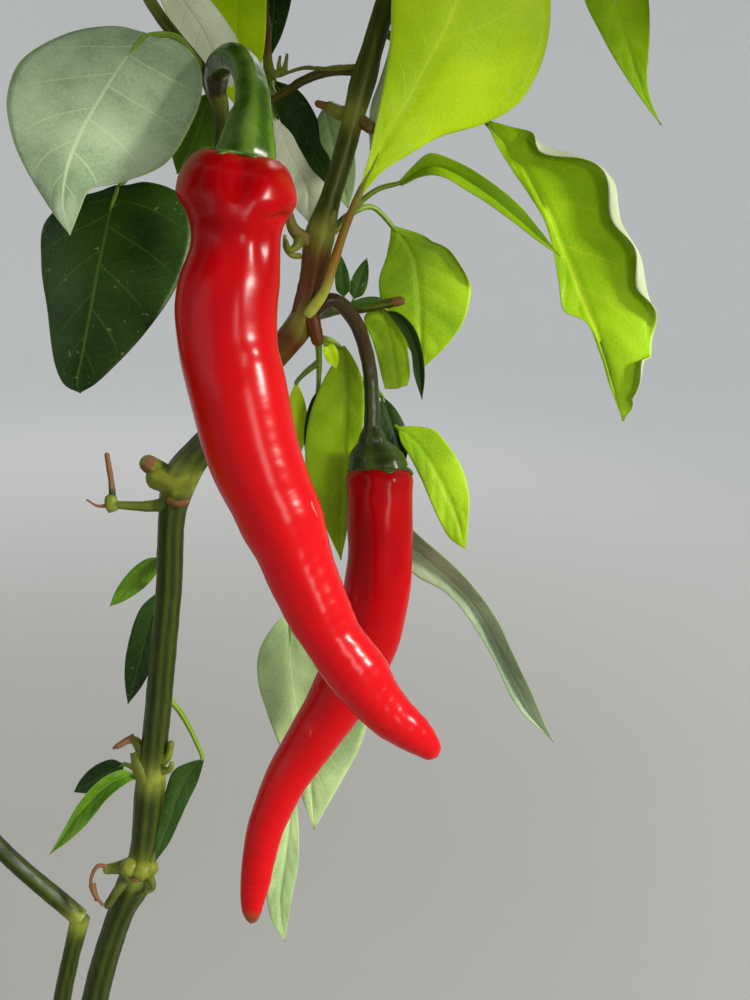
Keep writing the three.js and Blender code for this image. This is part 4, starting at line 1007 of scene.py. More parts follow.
def blade(rows, depth, seed, lift=(0.0, 0.0), curl=(), quilt=0.35, waves=0.5, veins=7, long=52, wide=10):
    """A closed leaf. depth runs from base to tip, and lift brings a margin nearer by a share of its reach.
    curl holds (side, start, end, millimetres of the margin that roll over, degrees)."""
    depths = np.interp(np.linspace(0, 1, len(rows)), np.linspace(0, 1, len(depth)), depth)
    size = [np.hypot(row[4] - row[0], row[5] - row[1]) / 2 * near_depth / eye_focus
            for row, near_depth in zip(rows, depths)]
    ribs = Line([seen(row[2], row[3], middle) for row, middle in zip(rows, depths)])
    margins = [Line([seen(row[column], row[column + 1], middle - lift[side] * reach)
                     for row, middle, reach in zip(rows, depths, size)])
               for side, column in enumerate((0, 4))]
    shares = np.concatenate([np.linspace(0, 0.9, long - 8), np.linspace(0.9, 1, 9)[1:]])
    across = np.concatenate([-np.linspace(1, 0, wide + 1) ** 0.9, np.linspace(0, 1, wide + 1)[1:] ** 0.9])
    grid = np.zeros((len(shares), len(across), 3))
    half = np.zeros((len(shares), len(across)))
    for row, share in enumerate(shares):
        rib = ribs.spot(share)
        edges = [margin.spot(share) for margin in margins]
        crosswise = edges[1] - edges[0]
        slack = max(0.0, 0.2 - np.linalg.norm(crosswise) / 2)
        way = crosswise / max(np.linalg.norm(crosswise), 1e-9) if slack < 0.19 else rightward
        edges = [edges[0] - way * slack, edges[1] + way * slack]
        for column, reach in enumerate(across):
            edge = edges[0] if reach < 0 else edges[1]
            grid[row, column] = rib + abs(reach) * (edge - rib)
            half[row, column] = np.linalg.norm(edge - rib)
    normal = unit_rows(np.cross(np.gradient(grid, axis=1), np.gradient(grid, axis=0)))
    for _ in range(6):
        normal[1:-1] = (normal[:-2] + 2 * normal[1:-1] + normal[2:]) / 4
        normal[:, 1:-1] = (normal[:, :-2] + 2 * normal[:, 1:-1] + normal[:, 2:]) / 4
    normal = unit_rows(normal)
    if np.sum(normal * (grid - eye)) > 0:
        normal = -normal
    side, along = across[None, :], shares[:, None]
    reach = np.abs(side)
    inner = np.clip(half / 6, 0, 1) * np.clip(along * 12, 0, 1) * np.clip((1 - along) * 9, 0, 1)
    phase = along * veins - reach ** 0.9 * 1.35 + np.where(side < 0, 0.35, 0)
    puff = np.abs(np.sin(math.pi * phase)) ** 0.7 * reach ** 0.4 * (1 - reach ** 5)
    height = quilt * puff * inner - 0.4 * np.exp(-(reach * half / 0.75) ** 2) * inner
    height += waves * reach ** 3 * inner * np.sin(along * (9 + seed % 4) + seed + np.where(side < 0, 0, 2.1))
    height += 0.5 * inner * ripple(grid, 22, seed)
    grid = grid + normal * height[..., None]
    for way, start, end, rolled, degrees in curl:
        window = np.clip(np.minimum(shares - start, end - shares) / (0.2 * (end - start)), 0, 1)
        window = window * window * (3 - 2 * window) * (0.88 + 0.12 * np.sin(shares * 31 + seed))
        for row in range(len(shares)):
            middle, edge = grid[row, wide].copy(), grid[row, -1 if way > 0 else 0].copy()
            reach_out = np.linalg.norm(edge - middle)
            length = min(rolled * (0.25 + 0.75 * window[row]), 0.75 * reach_out)
            outgoing = (edge - middle) / max(reach_out, 1e-9)
            hinge = edge - outgoing * length
            angle = math.radians(degrees) * window[row]
            for column, share_out in enumerate(way * across):
                run = share_out * reach_out - (reach_out - length)
                if run > 0 and angle > 0.02:
                    arc = min(run / roll_radius, angle)
                    straight = run - arc * roll_radius
                    out = math.sin(arc) * roll_radius + math.cos(arc) * straight
                    rise = (1 - math.cos(arc)) * roll_radius + math.sin(arc) * straight
                    rest = grid[row, column] - (hinge + outgoing * run)
                    grid[row, column] = hinge + outgoing * out + normal[row, wide] * rise + rest * 0.4
    facing = unit_rows(np.cross(np.gradient(grid, axis=1), np.gradient(grid, axis=0)))
    if np.sum(facing * normal) < 0:
        facing = -facing
    midrib = 0.35 * np.exp(-(reach * half / 0.7) ** 2) * (1 - along) * inner
    below = (blade_thickness / 2) * (0.55 + 0.45 * (1 - reach ** 4)) + midrib
    return {"top": grid + facing * (blade_thickness / 2), "under": grid - facing * below[..., None],
            "across": np.repeat(side, len(shares), axis=0), "along": np.repeat(along, len(across), axis=1)}


def blades_piece(name, sheets, finish):
    """Closed leaves joined in one mesh, with their own map of length and breadth."""
    places, faces, marks = [], [], {"across": [], "along": [], "under": []}
    for sheet in sheets:
        long, wide = sheet["top"].shape[:2]
        first, count = sum(len(part) for part in places), long * wide
        own = []
        for row in range(long - 1):
            for column in range(wide - 1):
                low = row * wide + column
                own.append((low, low + 1, low + wide + 1, low + wide))
                own.append((count + low, count + low + wide, count + low + wide + 1, count + low + 1))
        rim = [row * wide for row in range(long)] + [(long - 1) * wide + column for column in range(1, wide)]
        rim += [row * wide + wide - 1 for row in range(long - 2, -1, -1)] + list(range(wide - 2, 0, -1))
        for here, there in zip(rim, rim[1:] + rim[:1]):
            own.append((here, there, count + there, count + here))
        both = np.concatenate([sheet["top"].reshape(-1, 3), sheet["under"].reshape(-1, 3)])
        own = outward_faces(both, own)
        faces += [tuple(first + corner for corner in face) for face in own]
        places.append(both)
        for mark in ("across", "along"):
            marks[mark].append(np.tile(sheet[mark].ravel(), 2))
        marks["under"].append(np.repeat([0.0, 1.0], count))
    made = mesh_object(name, np.concatenate(places), faces)
    for mark, values in marks.items():
        leave_mark(made.data, mark, np.concatenate(values))
    made.data.materials.append(finish.material)
    return made


def oval(base, tip, breadth, belly=0.4):
    """Rows for a leaf that is seen flat: its base and tip in the view, and its breadth there."""
    point = 0.9
    base, tip = np.array(base, float), np.array(tip, float)
    way = (tip - base) / np.linalg.norm(tip - base)
    side = np.array([way[1], -way[0]])
    rise = point * belly / (1 - belly)
    widest = belly ** rise * (1 - belly) ** point
    rows = []
    for share in np.linspace(0, 1, 8):
        rib = base + (tip - base) * share
        reach = breadth / 2 * (share ** rise * (1 - share) ** point) / widest
        rows.append((*(rib - side * reach), *rib, *(rib + side * reach)))
    return rows


print("blades can be drawn by their outlines")

# %% [markdown]
# ## Leaf finishes
# The same leaf looks very different from its two sides and with the light in front of it or behind it:
# grey-green and waxy, dark green, or a glowing yellow-green with darker veins. Sunlight through leaves
# can be traced, but a studio has no sun behind the plant, so each leaf is painted with the light and
# shade that it shows in its place: backlit glow, sheen and glare as painted light, the dark leaf as
# painted shade. Veins, blotches and margins come from the leaf's own map.


# %% Leaf finish
class LeafFinish(Finish):
    """A leaf's two sides: blotched between two greens, veined, with a rim and a browned tip."""

    def __init__(self, name, dark, light, vein, rim, under, roughness, veins=7, vein_share=0.6,
                 tip=0.0, coat=0.03):
        super().__init__(name, Coat_Weight=coat, Coat_Roughness=0.3, Specular_IOR_Level=0.14)
        across, along, below = (self.attribute(mark) for mark in ("across", "along", "under"))
        reach = abs(across)
        blotch = self.noise(55, 4)
        fine = self.noise(1500, 3)
        inputs = {"Vector": self.where, "Scale": 620.0}
        cells = self.add("ShaderNodeTexVoronoi", {"feature": "DISTANCE_TO_EDGE"}, inputs)
        side_shift = across.step(-0.01, 0.01) * -0.35 + 0.35
        phase = (along * veins - (reach ** 0.9) * 1.35 + side_shift).fraction()
        side_vein = abs(phase - 0.5).step(0.455, 0.5) * (1 - reach.step(0.5, 1.0))
        side_vein = side_vein * along.step(0.02, 0.12) * 0.75
        branch = (along * (veins * 3) + (reach ** 0.8) * 2.1 + blotch * 0.6).fraction()
        small_vein = abs(branch - 0.5).step(0.43, 0.5) * 0.2 * reach.step(0.1, 0.3)
        midrib = 1 - (reach * (1.15 - along)).step(0.008, 0.022)
        lines = side_vein.most(small_vein).most(midrib)
        tint = self.blend((blotch + (fine - 0.5) * 0.3).step(0.3, 0.7), dark, light)
        tint = self.blend((1 - cells.step(0.0, 0.12)) * 0.09, tint, vein)
        tint = self.blend(lines * vein_share, tint, vein)
        # Partly painted light: the lighter rim is partly the margin's own colour and partly painted sun
        # through the thin edge.
        tint = self.blend(reach.step(0.955, 1.0) * 0.6, tint, rim)
        tint = self.blend(below.step(0.3, 0.7), tint, self.blend(lines * 0.5, under, vein))
        specks = self.noise(800, 0).step(0.76, 0.82) * self.noise(90, 1).step(0.5, 0.6)
        tint = self.blend(specks * 0.2, tint, (206, 214, 150))
        tint = self.blend(along.step(0.965, 0.995) * tip, tint, (120, 74, 30))
        self.set("Base Color", tint)
        self.set("Roughness", fine * 0.16 + blotch * 0.1 + (roughness - 0.12) + below * 0.15)
        self.relief(fine * 0.25 + cells.step(0.0, 0.25) * 0.3 - lines * 0.5 + blotch * 0.35, 0.22, 0.32)


leaf_finishes = {
    # Painted reflection: the pale grey-green stands for the sky's sheen on the waxy top of the leaf.
    "grey": LeafFinish("waxy grey leaf", (118, 140, 106), (158, 178, 142), (186, 202, 160),
                       (170, 190, 116), (90, 116, 62), 0.5),
    # Painted shade: these dark greens stand for leaves lying in shade.
    "dark": LeafFinish("dark leaf", (26, 50, 10), (42, 70, 18), (80, 112, 42), (80, 108, 30),
                       (76, 102, 50), 0.36),
    "glow": LeafFinish("sunlit leaf", (114, 158, 8), (148, 188, 14), (158, 186, 50),
                       (176, 196, 50), (112, 138, 80), 0.44, tip=0.3),
    # Painted light: the bright lime stands for sunlight shining through the blade from behind.
    "lime": LeafFinish("lime leaf", (160, 200, 3), (184, 218, 6), (196, 220, 40),
                       (198, 214, 80), (134, 164, 60), 0.42),
    # Painted light: the yellow-green stands for sun through the blade, and the pale underside of its rolled
    # margin is partly painted sky reflection.
    "yellow": LeafFinish("yellow green leaf", (122, 166, 8), (146, 190, 14), (172, 178, 34),
                         (176, 190, 130), (170, 180, 144), 0.42, vein_share=0.5, tip=0.3),
    "green": LeafFinish("middle green leaf", (62, 102, 22), (98, 140, 32), (134, 168, 70),
                        (140, 166, 60), (108, 134, 82), 0.36, tip=0.8),
    # Painted light: the near-white greens stand for strong sun glare on the blade.
    "pale": LeafFinish("bleached leaf", (224, 230, 192), (244, 246, 220), (176, 196, 130),
                       (170, 194, 100), (170, 190, 134), 0.45),
    "blue": LeafFinish("blue green leaf", (140, 170, 112), (178, 206, 142), (196, 216, 156),
                       (180, 198, 132), (96, 122, 78), 0.48, tip=0.6),
}
petiole_rind = Rind("petiole rind", (124, 152, 44), (90, 118, 28), (178, 186, 74),
                    (142, 90, 24), (128, 80, 38), 0.4)
print("leaf finishes", ", ".join(leaf_finishes))

# %% [markdown]
# ## The leaves in front
# Each group of leaves belongs to one solid, and takes its place. Rows run from base to tip and give left
# margin, midrib and right margin as places in the view. A plain small leaf is an oval between two places.

# %% Leaves at the upper left
front_leaves = [
    ("left_front_leaves", "grey", [
        (145, 33, 147, 34, 149, 36), (112, 26, 134, 47, 176, 38), (62, 32, 118, 70, 199, 64),
        (20, 60, 101, 96, 201, 96), (8, 98, 86, 121, 190, 127), (13, 137, 74, 147, 166, 163),
        (26, 169, 66, 172, 124, 179), (42, 196, 63, 196, 92, 189), (56, 217, 65, 216, 80, 213),
        (70, 235) * 3], (243, 226), {"lift": (-0.1, -0.45), "waves": 0.9, "seed": 2}),
    ("left_front_leaves", "dark", [
        (117, 185, 118, 187, 120, 186), (98, 190, 115, 194, 150, 184), (66, 204, 110, 209, 183, 197),
        (45, 226, 104, 237, 192, 232), (41, 262, 98, 268, 184, 268), (45, 300, 91, 302, 166, 304),
        (50, 335, 85, 335, 142, 338), (56, 366, 80, 362, 114, 367), (66, 386, 77, 382, 95, 384),
        (80, 393) * 3], (253, 240), {"lift": (-0.2, -0.1), "seed": 5}),
    ("upper_left_leaf", "pale", [
        (150, -58, 151, -58, 152, -58), (148, -35, 165, -32, 186, -32), (158, -8, 182, -2, 207, -4),
        (172, 25, 199, 22, 227, 22), (188, 52, 212, 48, 240, 46), (204, 72, 224, 70, 238, 66),
        (232, 88) * 3], (274, 268), {"seed": 3, "lift": (-0.3, 0.2)}),
    ("upper_left_leaf", "green", [
        (211, 92, 212, 92, 213, 92), (188, 104, 205, 111, 216, 113), (176, 124, 198, 131, 218, 136),
        (171, 148, 189, 151, 207, 158), (177, 174) * 3], (267, 270), {"seed": 7}),
    ("upper_rear_leaves", "lime", [
        (240, -90) * 3, (214, -60, 240, -58, 262, -60), (200, -20, 236, -18, 266, -20),
        (198, 15, 236, 20, 266, 20), (205, 50, 238, 55, 263, 55), (220, 85, 240, 88, 254, 86),
        (240, 112) * 3], (297, 284), {"seed": 4}),
    ("upper_rear_leaves", "dark", oval((280, -68), (270, 58), 36), (310, 312), {"seed": 6}),
    ("centre_leaves", "dark", [
        (271, 80, 272, 80, 273, 80), (273, 94, 283, 95, 297, 89), (277, 112, 294, 110, 310, 105),
        (284, 128, 303, 126, 318, 122), (295, 140, 309, 141, 321, 143), (298, 156, 317, 157, 329, 157),
        (312, 173, 325, 172, 334, 172), (335, 190) * 3], (282, 290), {"seed": 8, "waves": 0.8}),
    ("centre_leaves", "pale", [
        (271, 116, 272, 116, 273, 116), (271, 128, 281, 130, 291, 133), (274, 146, 287, 146, 299, 148),
        (280, 166, 298, 167, 312, 170), (287, 187, 307, 187, 325, 184), (295, 206, 309, 205, 323, 203),
        (309, 223) * 3], (276, 272), {"seed": 9, "waves": 0.7}),
    ("leaf_behind_bough", "blue", oval((324, 106), (348, 208), 38, belly=0.45), (294, 298), {"seed": 10}),
]
print(len(front_leaves), "leaves at the upper left")

# %% Leaves at the upper right
front_leaves += [
    ("great_upper_leaf", "lime", [
        (357, 196, 359, 194, 361, 197), (364, 173, 369, 172, 382, 172), (370, 152, 379, 152, 405, 157),
        (375, 126, 391, 128, 440, 137), (381, 98, 407, 100, 484, 124), (387, 66, 424, 68, 520, 102),
        (391, 32, 442, 34, 542, 60), (392, -2, 458, -2, 550, 12), (400, -40, 472, -42, 546, -40),
        (430, -86, 488, -84, 524, -88), (500, -120) * 3],
        (255.5, 255, 253, 250, 246, 240, 234, 228),
        {"lift": (0.05, -0.22), "seed": 12, "veins": 8, "waves": 0.8}),
    ("great_upper_leaf", "pale", [
        (391, 40, 392, 40, 393, 40), (386, 60, 389, 60, 393, 61), (378, 85, 384, 86, 391, 86),
        (371, 105, 377, 108, 386, 110), (369, 125, 372, 128, 377, 132), (370, 150) * 3],
        (256, 258), {"seed": 1, "quilt": 0.1}),
    ("far_upper_leaf", "glow", [
        (603, -109, 604, -109, 605, -109), (580, -70, 604, -68, 630, -72), (577, -32, 609, -30, 645, -32),
        (586, 3, 615, 2, 649, 0), (600, 32, 623, 32, 649, 30), (612, 55, 631, 56, 648, 58),
        (628, 81, 638, 80, 647, 80), (643, 102, 646, 100, 650, 99), (661, 125) * 3],
        (240, 240), {"seed": 13}),
    ("upper_right_leaf", "yellow", [
        (487, 124, 488, 123, 490, 121), (497, 146, 506, 146, 524, 130), (512, 170, 524, 170, 557, 137),
        (530, 196, 538, 196, 594, 151), (545, 222, 550, 222, 627, 180), (553, 250, 562, 250, 637, 225),
        (558, 282, 574, 276, 655, 260), (564, 312, 585, 304, 664, 301), (586, 322, 595, 330, 653, 338),
        (600, 352, 605, 360, 650, 366), (610, 386, 614, 390, 642, 394), (623, 421) * 3],
        (264, 250), {"lift": (0.0, 0.12), "seed": 14, "waves": 0.9, "veins": 8, "long": 92, "wide": 20,
                     "curl": ((1, 0.05, 0.74, 6.2, 160), (1, 0.78, 0.97, 3.8, 150))}),
    ("middle_right_leaves", "glow", [
        (399, 181, 400, 183, 401, 186), (413, 166, 416, 172, 419, 178), (430, 153, 434, 166, 440, 178),
        (459, 162, 459, 175, 461, 186), (490, 181, 486, 192, 484, 199), (519, 205, 512, 213, 508, 218),
        (541, 231, 536, 234, 532, 237), (560, 256) * 3],
        (262, 247), {"lift": (0.5, 1.2), "seed": 15, "quilt": 0.2}),
    ("middle_right_leaves", "glow", [
        (391, 226, 393, 227, 396, 226), (390, 240, 404, 240, 426, 236), (386, 258, 413, 258, 453, 250),
        (379, 280, 417, 282, 470, 278), (382, 304, 419, 305, 469, 304), (394, 326, 420, 328, 460, 328),
        (408, 347, 421, 348, 444, 348), (424, 367) * 3],
        (278, 296), {"seed": 16, "wide": 16, "curl": ((1, 0.12, 0.5, 2.6, 110),)}),
    ("fork_right_leaves", "glow", [
        (372, 308, 380, 306, 388, 308), (364, 318, 384, 318, 394, 318), (372, 340, 390, 340, 405, 338),
        (378, 360, 394, 360, 409, 360), (382, 378, 396, 378, 410, 374), (385, 389, 397, 389, 408, 385)],
        (285, 286), {"seed": 17, "quilt": 0.2}),
    ("fork_right_leaves", "dark", [
        (384, 311, 385, 311, 386, 311), (398, 312, 396, 316, 394, 321), (412, 325, 408, 329, 403, 334),
        (421, 348, 416, 350, 411, 352), (425, 372, 420, 373, 414, 374), (422, 400) * 3],
        (281, 283), {"seed": 18, "quilt": 0.1, "lift": (1.2, 0.3)}),
    ("fork_right_leaves", "dark", oval((344, 297), (340, 254), 15, 0.35), (281, 281),
     {"seed": 19, "quilt": 0.1}),
    ("fork_right_leaves", "dark", oval((354, 299), (367, 258), 17, 0.35), (281, 282),
     {"seed": 20, "quilt": 0.1}),
    ("fork_right_leaves", "dark", oval((346, 306), (382, 298), 9, 0.5), (279, 280),
     {"seed": 21, "quilt": 0.1}),
]
print(len(front_leaves), "leaves with the upper right")

# %% Leaves lower down
front_leaves += [
    ("low_right_leaves", "glow", [
        (337, 346, 340, 346, 345, 346), (335, 359, 345, 358, 354, 359), (323, 381, 346, 380, 362, 378),
        (312, 408, 346, 408, 364, 404), (306, 438, 345, 438, 362, 432), (306, 468, 344, 466, 354, 462),
        (314, 498, 343, 496, 349, 492), (326, 528, 342, 526, 348, 524), (341, 560) * 3],
        (290, 306), {"seed": 22}),
    ("low_right_leaves", "glow", [
        (396, 427, 397, 428, 398, 430), (414, 426, 407, 434, 401, 442), (434, 430, 422, 450, 410, 457),
        (450, 448, 435, 470, 421, 478), (463, 470, 446, 492, 430, 500), (469, 496, 455, 512, 440, 522),
        (468, 522, 461, 530, 451, 539), (466, 550) * 3],
        (298, 292), {"seed": 23, "lift": (-0.2, 0.1)}),
    ("low_right_leaves", "dark", oval((382, 396), (405, 464), 24, 0.5), (297, 300),
     {"seed": 24, "quilt": 0.1}),
    ("low_right_leaves", "grey", [
        (385, 499, 386, 500, 387, 501), (402, 517, 396, 530, 390, 545), (430, 542, 423, 557, 415, 574),
        (456, 568, 450, 581, 443, 590), (478, 594, 472, 604, 464, 612), (497, 621, 489, 632, 480, 637),
        (513, 650, 504, 659, 495, 664), (528, 682, 518, 688, 508, 690), (540, 712, 531, 714, 523, 712),
        (553, 742) * 3], (314, 288), {"seed": 25, "lift": (0.9, 0.5), "veins": 10, "waves": 0.7}),
    ("hanging_back_leaves", "blue", [
        (288, 611, 289, 611, 290, 611), (272, 628, 290, 630, 316, 628), (259, 652, 290, 655, 342, 650),
        (258, 682, 293, 684, 360, 682), (267, 712, 298, 714, 368, 716), (278, 741, 303, 742, 359, 749),
        (290, 767, 308, 768, 344, 777), (301, 795, 311, 795, 329, 803), (314, 830) * 3],
        (327, 322), {"seed": 26, "veins": 8}),
    ("hanging_back_leaves", "blue", [
        (291, 786, 292, 786, 293, 786), (284, 805, 291, 806, 297, 808), (276, 838, 288, 838, 299, 840),
        (270, 868, 284, 868, 298, 866), (267, 898, 280, 896, 293, 892), (272, 921, 281, 919, 289, 915),
        (285, 942) * 3], (334, 328), {"seed": 27}),
    ("low_left_leaves", "green", [
        (135, 776, 136, 777, 137, 778), (126, 770, 124, 777, 126, 784), (108, 775, 106, 786, 109, 798),
        (92, 787, 91, 800, 95, 813), (77, 806, 77, 816, 81, 829), (64, 829, 65, 834, 69, 841),
        (50, 854) * 3], (302, 294), {"seed": 28, "lift": (0.3, 0.8)}),
    ("low_left_leaves", "dark", oval((124, 764), (74, 792), 26), (312, 318), {"seed": 29}),
    ("low_stem_leaves", "dark", [
        (202, 759, 203, 759, 204, 760), (190, 762, 194, 768, 201, 772), (174, 770, 184, 783, 197, 783),
        (166, 790, 176, 800, 188, 802), (161, 812, 170, 820, 179, 822), (157, 836, 162, 840, 169, 843),
        (155, 862) * 3], (309, 306), {"seed": 30}),
    ("behind_stem_leaves", "dark", oval((158, 592), (128, 704), 32, 0.42), (301, 304), {"seed": 31}),
    ("behind_stem_leaves", "green", oval((160, 557), (110, 606), 22, 0.42), (302, 306), {"seed": 32}),
    ("fork_right_leaves", "dark", oval((318, 390), (305, 450), 12, 0.45), (300, 303),
     {"seed": 33, "quilt": 0.1}),
    ("fork_right_leaves", "lime", oval((296, 382), (299, 456), 20, 0.5), (302, 305),
     {"seed": 34, "quilt": 0.2}),
    ("fork_right_leaves", "lime", oval((326, 339), (336, 368), 14, 0.5), (286, 290),
     {"seed": 35, "quilt": 0.1}),
]
by_group = {}
for node, finish, rows, depth, options in front_leaves:
    by_group.setdefault((node, finish), []).append(blade(rows, depth, **options))
for (node, finish), sheets in by_group.items():
    pieces.append((blades_piece(f"{node}_{finish}", sheets, leaf_finishes[finish]), [node], "front_leaf"))
print(len(front_leaves), "leaves in", len(by_group), "pieces")

# %% [markdown]
# ## Petioles, shoots and scars
# Every leaf hangs on a petiole that carries on under the blade as its midrib. Between them stand the
# leftovers of a plant that has been picked and pinched: thin shoots, buds, a dried flower stalk, and the
# scars of fruits. They are all round rods, so the limb tree makes them too.

# %% Petioles that run on as midribs
petioles = [
    ((207, 80, 264), (190, 52, 256), (174, 36, 248)), ((192, 55, 257), (165, 110, 262), (134, 168, 258)),
    ((138, -30, 262), (146, -48, 270)), ((217, 99, 263), (215, 94, 266)),
    ((262, -52, 304), (250, -78, 300)), ((262, -52, 304), (272, -70, 308)),
    ((276, 97, 275), (272, 88, 279)), ((268, 102, 276), (270, 110, 276)),
    ((354, 122, 257), (346, 114, 278), (334, 110, 290)),
    ((308, 314, 265), (324, 292, 260), (334, 262, 258), (346, 226, 257)), None,
    ((394, -30, 251), (470, -95, 244), (560, -120, 240)), ((378, 28, 253), (424, 60, 262), (466, 102, 266)),
    ((318, 238, 262), (338, 228, 264), (356, 206, 264), (378, 189, 263)),
    ((334, 231, 264), (347, 216, 268), (372, 207, 274)), ((372, 305, 281), (376, 305, 284)),
    ((384, 303, 281),), ((342, 308, 281),), ((351, 307, 281),), ((338, 309, 279),),
    ((318, 338, 280), (330, 340, 285)),
    ((300, 328, 270), (318, 338, 280), (345, 358, 300), (370, 392, 304), (388, 414, 300)),
    ((366, 384, 303), (374, 388, 300)), ((345, 358, 300), (352, 400, 312), (368, 460, 316)),
    ((226, 430, 276), (262, 470, 296), (282, 540, 316), (286, 592, 325)),
    ((284, 570, 322), (294, 640, 338), (298, 740, 338)), ((152, 776, 304), (144, 777, 303)),
    ((146, 777, 303), (134, 768, 308)), ((160, 690, 297), (180, 712, 304), (196, 742, 308)),
    ((170, 566, 286), (170, 574, 296), (164, 582, 300)), ((170, 574, 296), (166, 562, 300)),
    ((318, 338, 280), (319, 365, 291)), ((319, 362, 290), (306, 372, 297)), ((318, 336, 280),),
]
petiole_rods = Rods()
sunburnt = near([seen(340, 245, 257), seen(348, 215, 257), seen(335, 265, 258)], 8)
rooted = near([seen(312, 305, 264), seen(318, 296, 262)], 5)
for (node, finish, rows, depth, options), points in zip(front_leaves, petioles):
    if points is None:
        continue
    depths = np.interp(np.linspace(0, 1, len(rows)), np.linspace(0, 1, len(depth)), depth)
    ribs = Line([seen(row[2], row[3], middle) + ahead * 0.4 for row, middle in zip(rows, depths)])
    radius = 1.5 if node == "great_upper_leaf" else (0.6 if ribs.length < 16 else 1.0)
    places = [seen(*point) for point in points]
    places += [ribs.spot(share) + ahead * share * 2.5 for share in (0.02, 0.1, 0.2, 0.32, 0.45)]
    line = Line(places)
    share = max(0.12, 1 - ribs.length * 0.43 / line.length)
    taper = widths([(0, radius * 1.25), (share * 0.3, radius), (share, radius * 0.75),
                    (share + 0.4 * (1 - share), radius * 0.4), (1, 0.12)])
    petiole_rods.add(line, taper, 1.5, rounded=False, flush=sunburnt if node == "great_upper_leaf" else 0.0,
                     joint=rooted)
stems = petiole_rods.make("front_petioles", petiole_rind, 10, 5, 0.05, 0.1, 300)
pieces.append((stems, sorted({node for node, *_ in front_leaves}), "stalk"))
print("petioles", len(stems.data.polygons), "faces")

# %% Shoots, buds and scars
shoot_rods = Rods()
for points, radii, marks in (
    (((366, 70, 255), (330, 71, 262), (304, 80, 270), (288, 90, 274), (264, 104, 276)), (1.5, 1.15),
     {"flush": 0.25}),
    (((362, 66, 254), (340, 68, 258), (324, 69, 262), (303, 68, 268), (278, 76, 272)), (0.75, 0.5),
     {"joint": 0.7}),
    (((303, 318, 268), (322, 312, 277), (340, 308, 281), (368, 307, 281), (400, 301, 281)), (2.2, 1.5),
     {"dry": near([seen(400, 301, 281)], 2.5)}),
    (((352, 113, 257), (341, 113, 258), (330, 108, 260)), (2.1, 1.9), {"joint": 0.9}),
    (((332, 109, 260), (325, 106, 260), (318, 104, 260)), (1.5, 1.0), {"dry": 1.0}),
    (((362, 121, 256), (367, 125, 255), (371, 128, 254)), (1.9, 1.6), {"joint": 0.6, "dry": 0.45}),
    (((314, 243, 262), (303, 238, 260), (294, 229, 258), (288, 212, 257)), (2.5, 1.3),
     {"dry": 0.42, "joint": 1.0}),
    (((300, 256, 262), (291, 255, 260), (285, 247, 258), (285, 236, 257)), (0.9, 0.5), {"joint": 1.0}),
    (((286, 240, 257), (290, 250, 256), (297, 246, 257), (299, 240, 258)), (0.5, 1.5), {"joint": 1.0}),
    (((326, 230, 261), (331, 221, 259), (334, 213, 258)), (1.6, 0.9), {"joint": 0.8}),
    (((306, 304, 267), (313, 322, 266), (317, 340, 267)), (2.6, 1.9), {"flush": 0.9}),
    (((306, 262, 263), (303, 285, 264), (297, 312, 266)), (1.3, 1.6), {"flush": 1.0}),
    (((196, 462, 277), (178, 482, 275), (158, 478, 276)), (3.6, 3.7), {"joint": 0.95}),
    (((168, 500, 273), (178, 504, 272), (186, 502, 273)), (0.9, 1.2), {"dry": 1.0}),
    (((140, 866, 311), (134, 866, 309), (130, 867, 307)), (3.8, 3.3), {"joint": 1.0}),
    (((140, 864, 311), (141, 867, 309), (142, 870, 307)), (4.2, 3.5), {"joint": 0.9}),
    (((141, 866, 311), (146, 866, 309), (150, 868, 308)), (3.6, 2.9), {"joint": 1.0}),
    (((131, 877, 306), (135, 880, 305), (140, 879, 306)), (0.8, 0.9), {"dry": 0.5}),
    (((137, 752, 303), (140, 766, 302), (146, 778, 303)), (2.2, 3.2), {"joint": 0.7}),
    (((284, 72, 272), (286, 63, 271), (287, 55, 270)), (1.0, 0.4), {"joint": 0.8}),
    (((280, 74, 272), (279, 64, 271), (280, 57, 270)), (1.0, 0.4), {"joint": 0.8}),
    (((278, 76, 272), (273, 70, 271), (272, 64, 271)), (0.9, 0.4), {"joint": 0.7}),
    (((270, 78, 290), (272, 92, 289), (273, 112, 288)), (2.0, 1.7), {"joint": 0.9}),
):
    shoot_rods.add([seen(*point) for point in points], widths([(0, radii[0]), (1, radii[1])]), 0.8, **marks)
shoots = shoot_rods.make("shoots_and_scars", bough_rind, 16, 5, 0.06, 0.5, 350)
pieces.append((shoots, ["centre_leaves", "fork_right_leaves"], "bough"))
print("shoots", len(shoots.data.polygons), "faces")

# %% [markdown]
# ## The crown
# Above and round the viewpoint's picture the plant carries ten masses of leaves. A leafy shoot grows by
# a rule: it forks, each fork turns its leaves round a little further, and a leaf that would leave the
# mass's own space or touch a limb doesn't grow. The solids were grown by the same rule from the same
# seeded numbers, so these leaves lie on theirs. Placing hundreds of leaves by hand would take days, and
# scattering them at random would leave them hanging in the air.

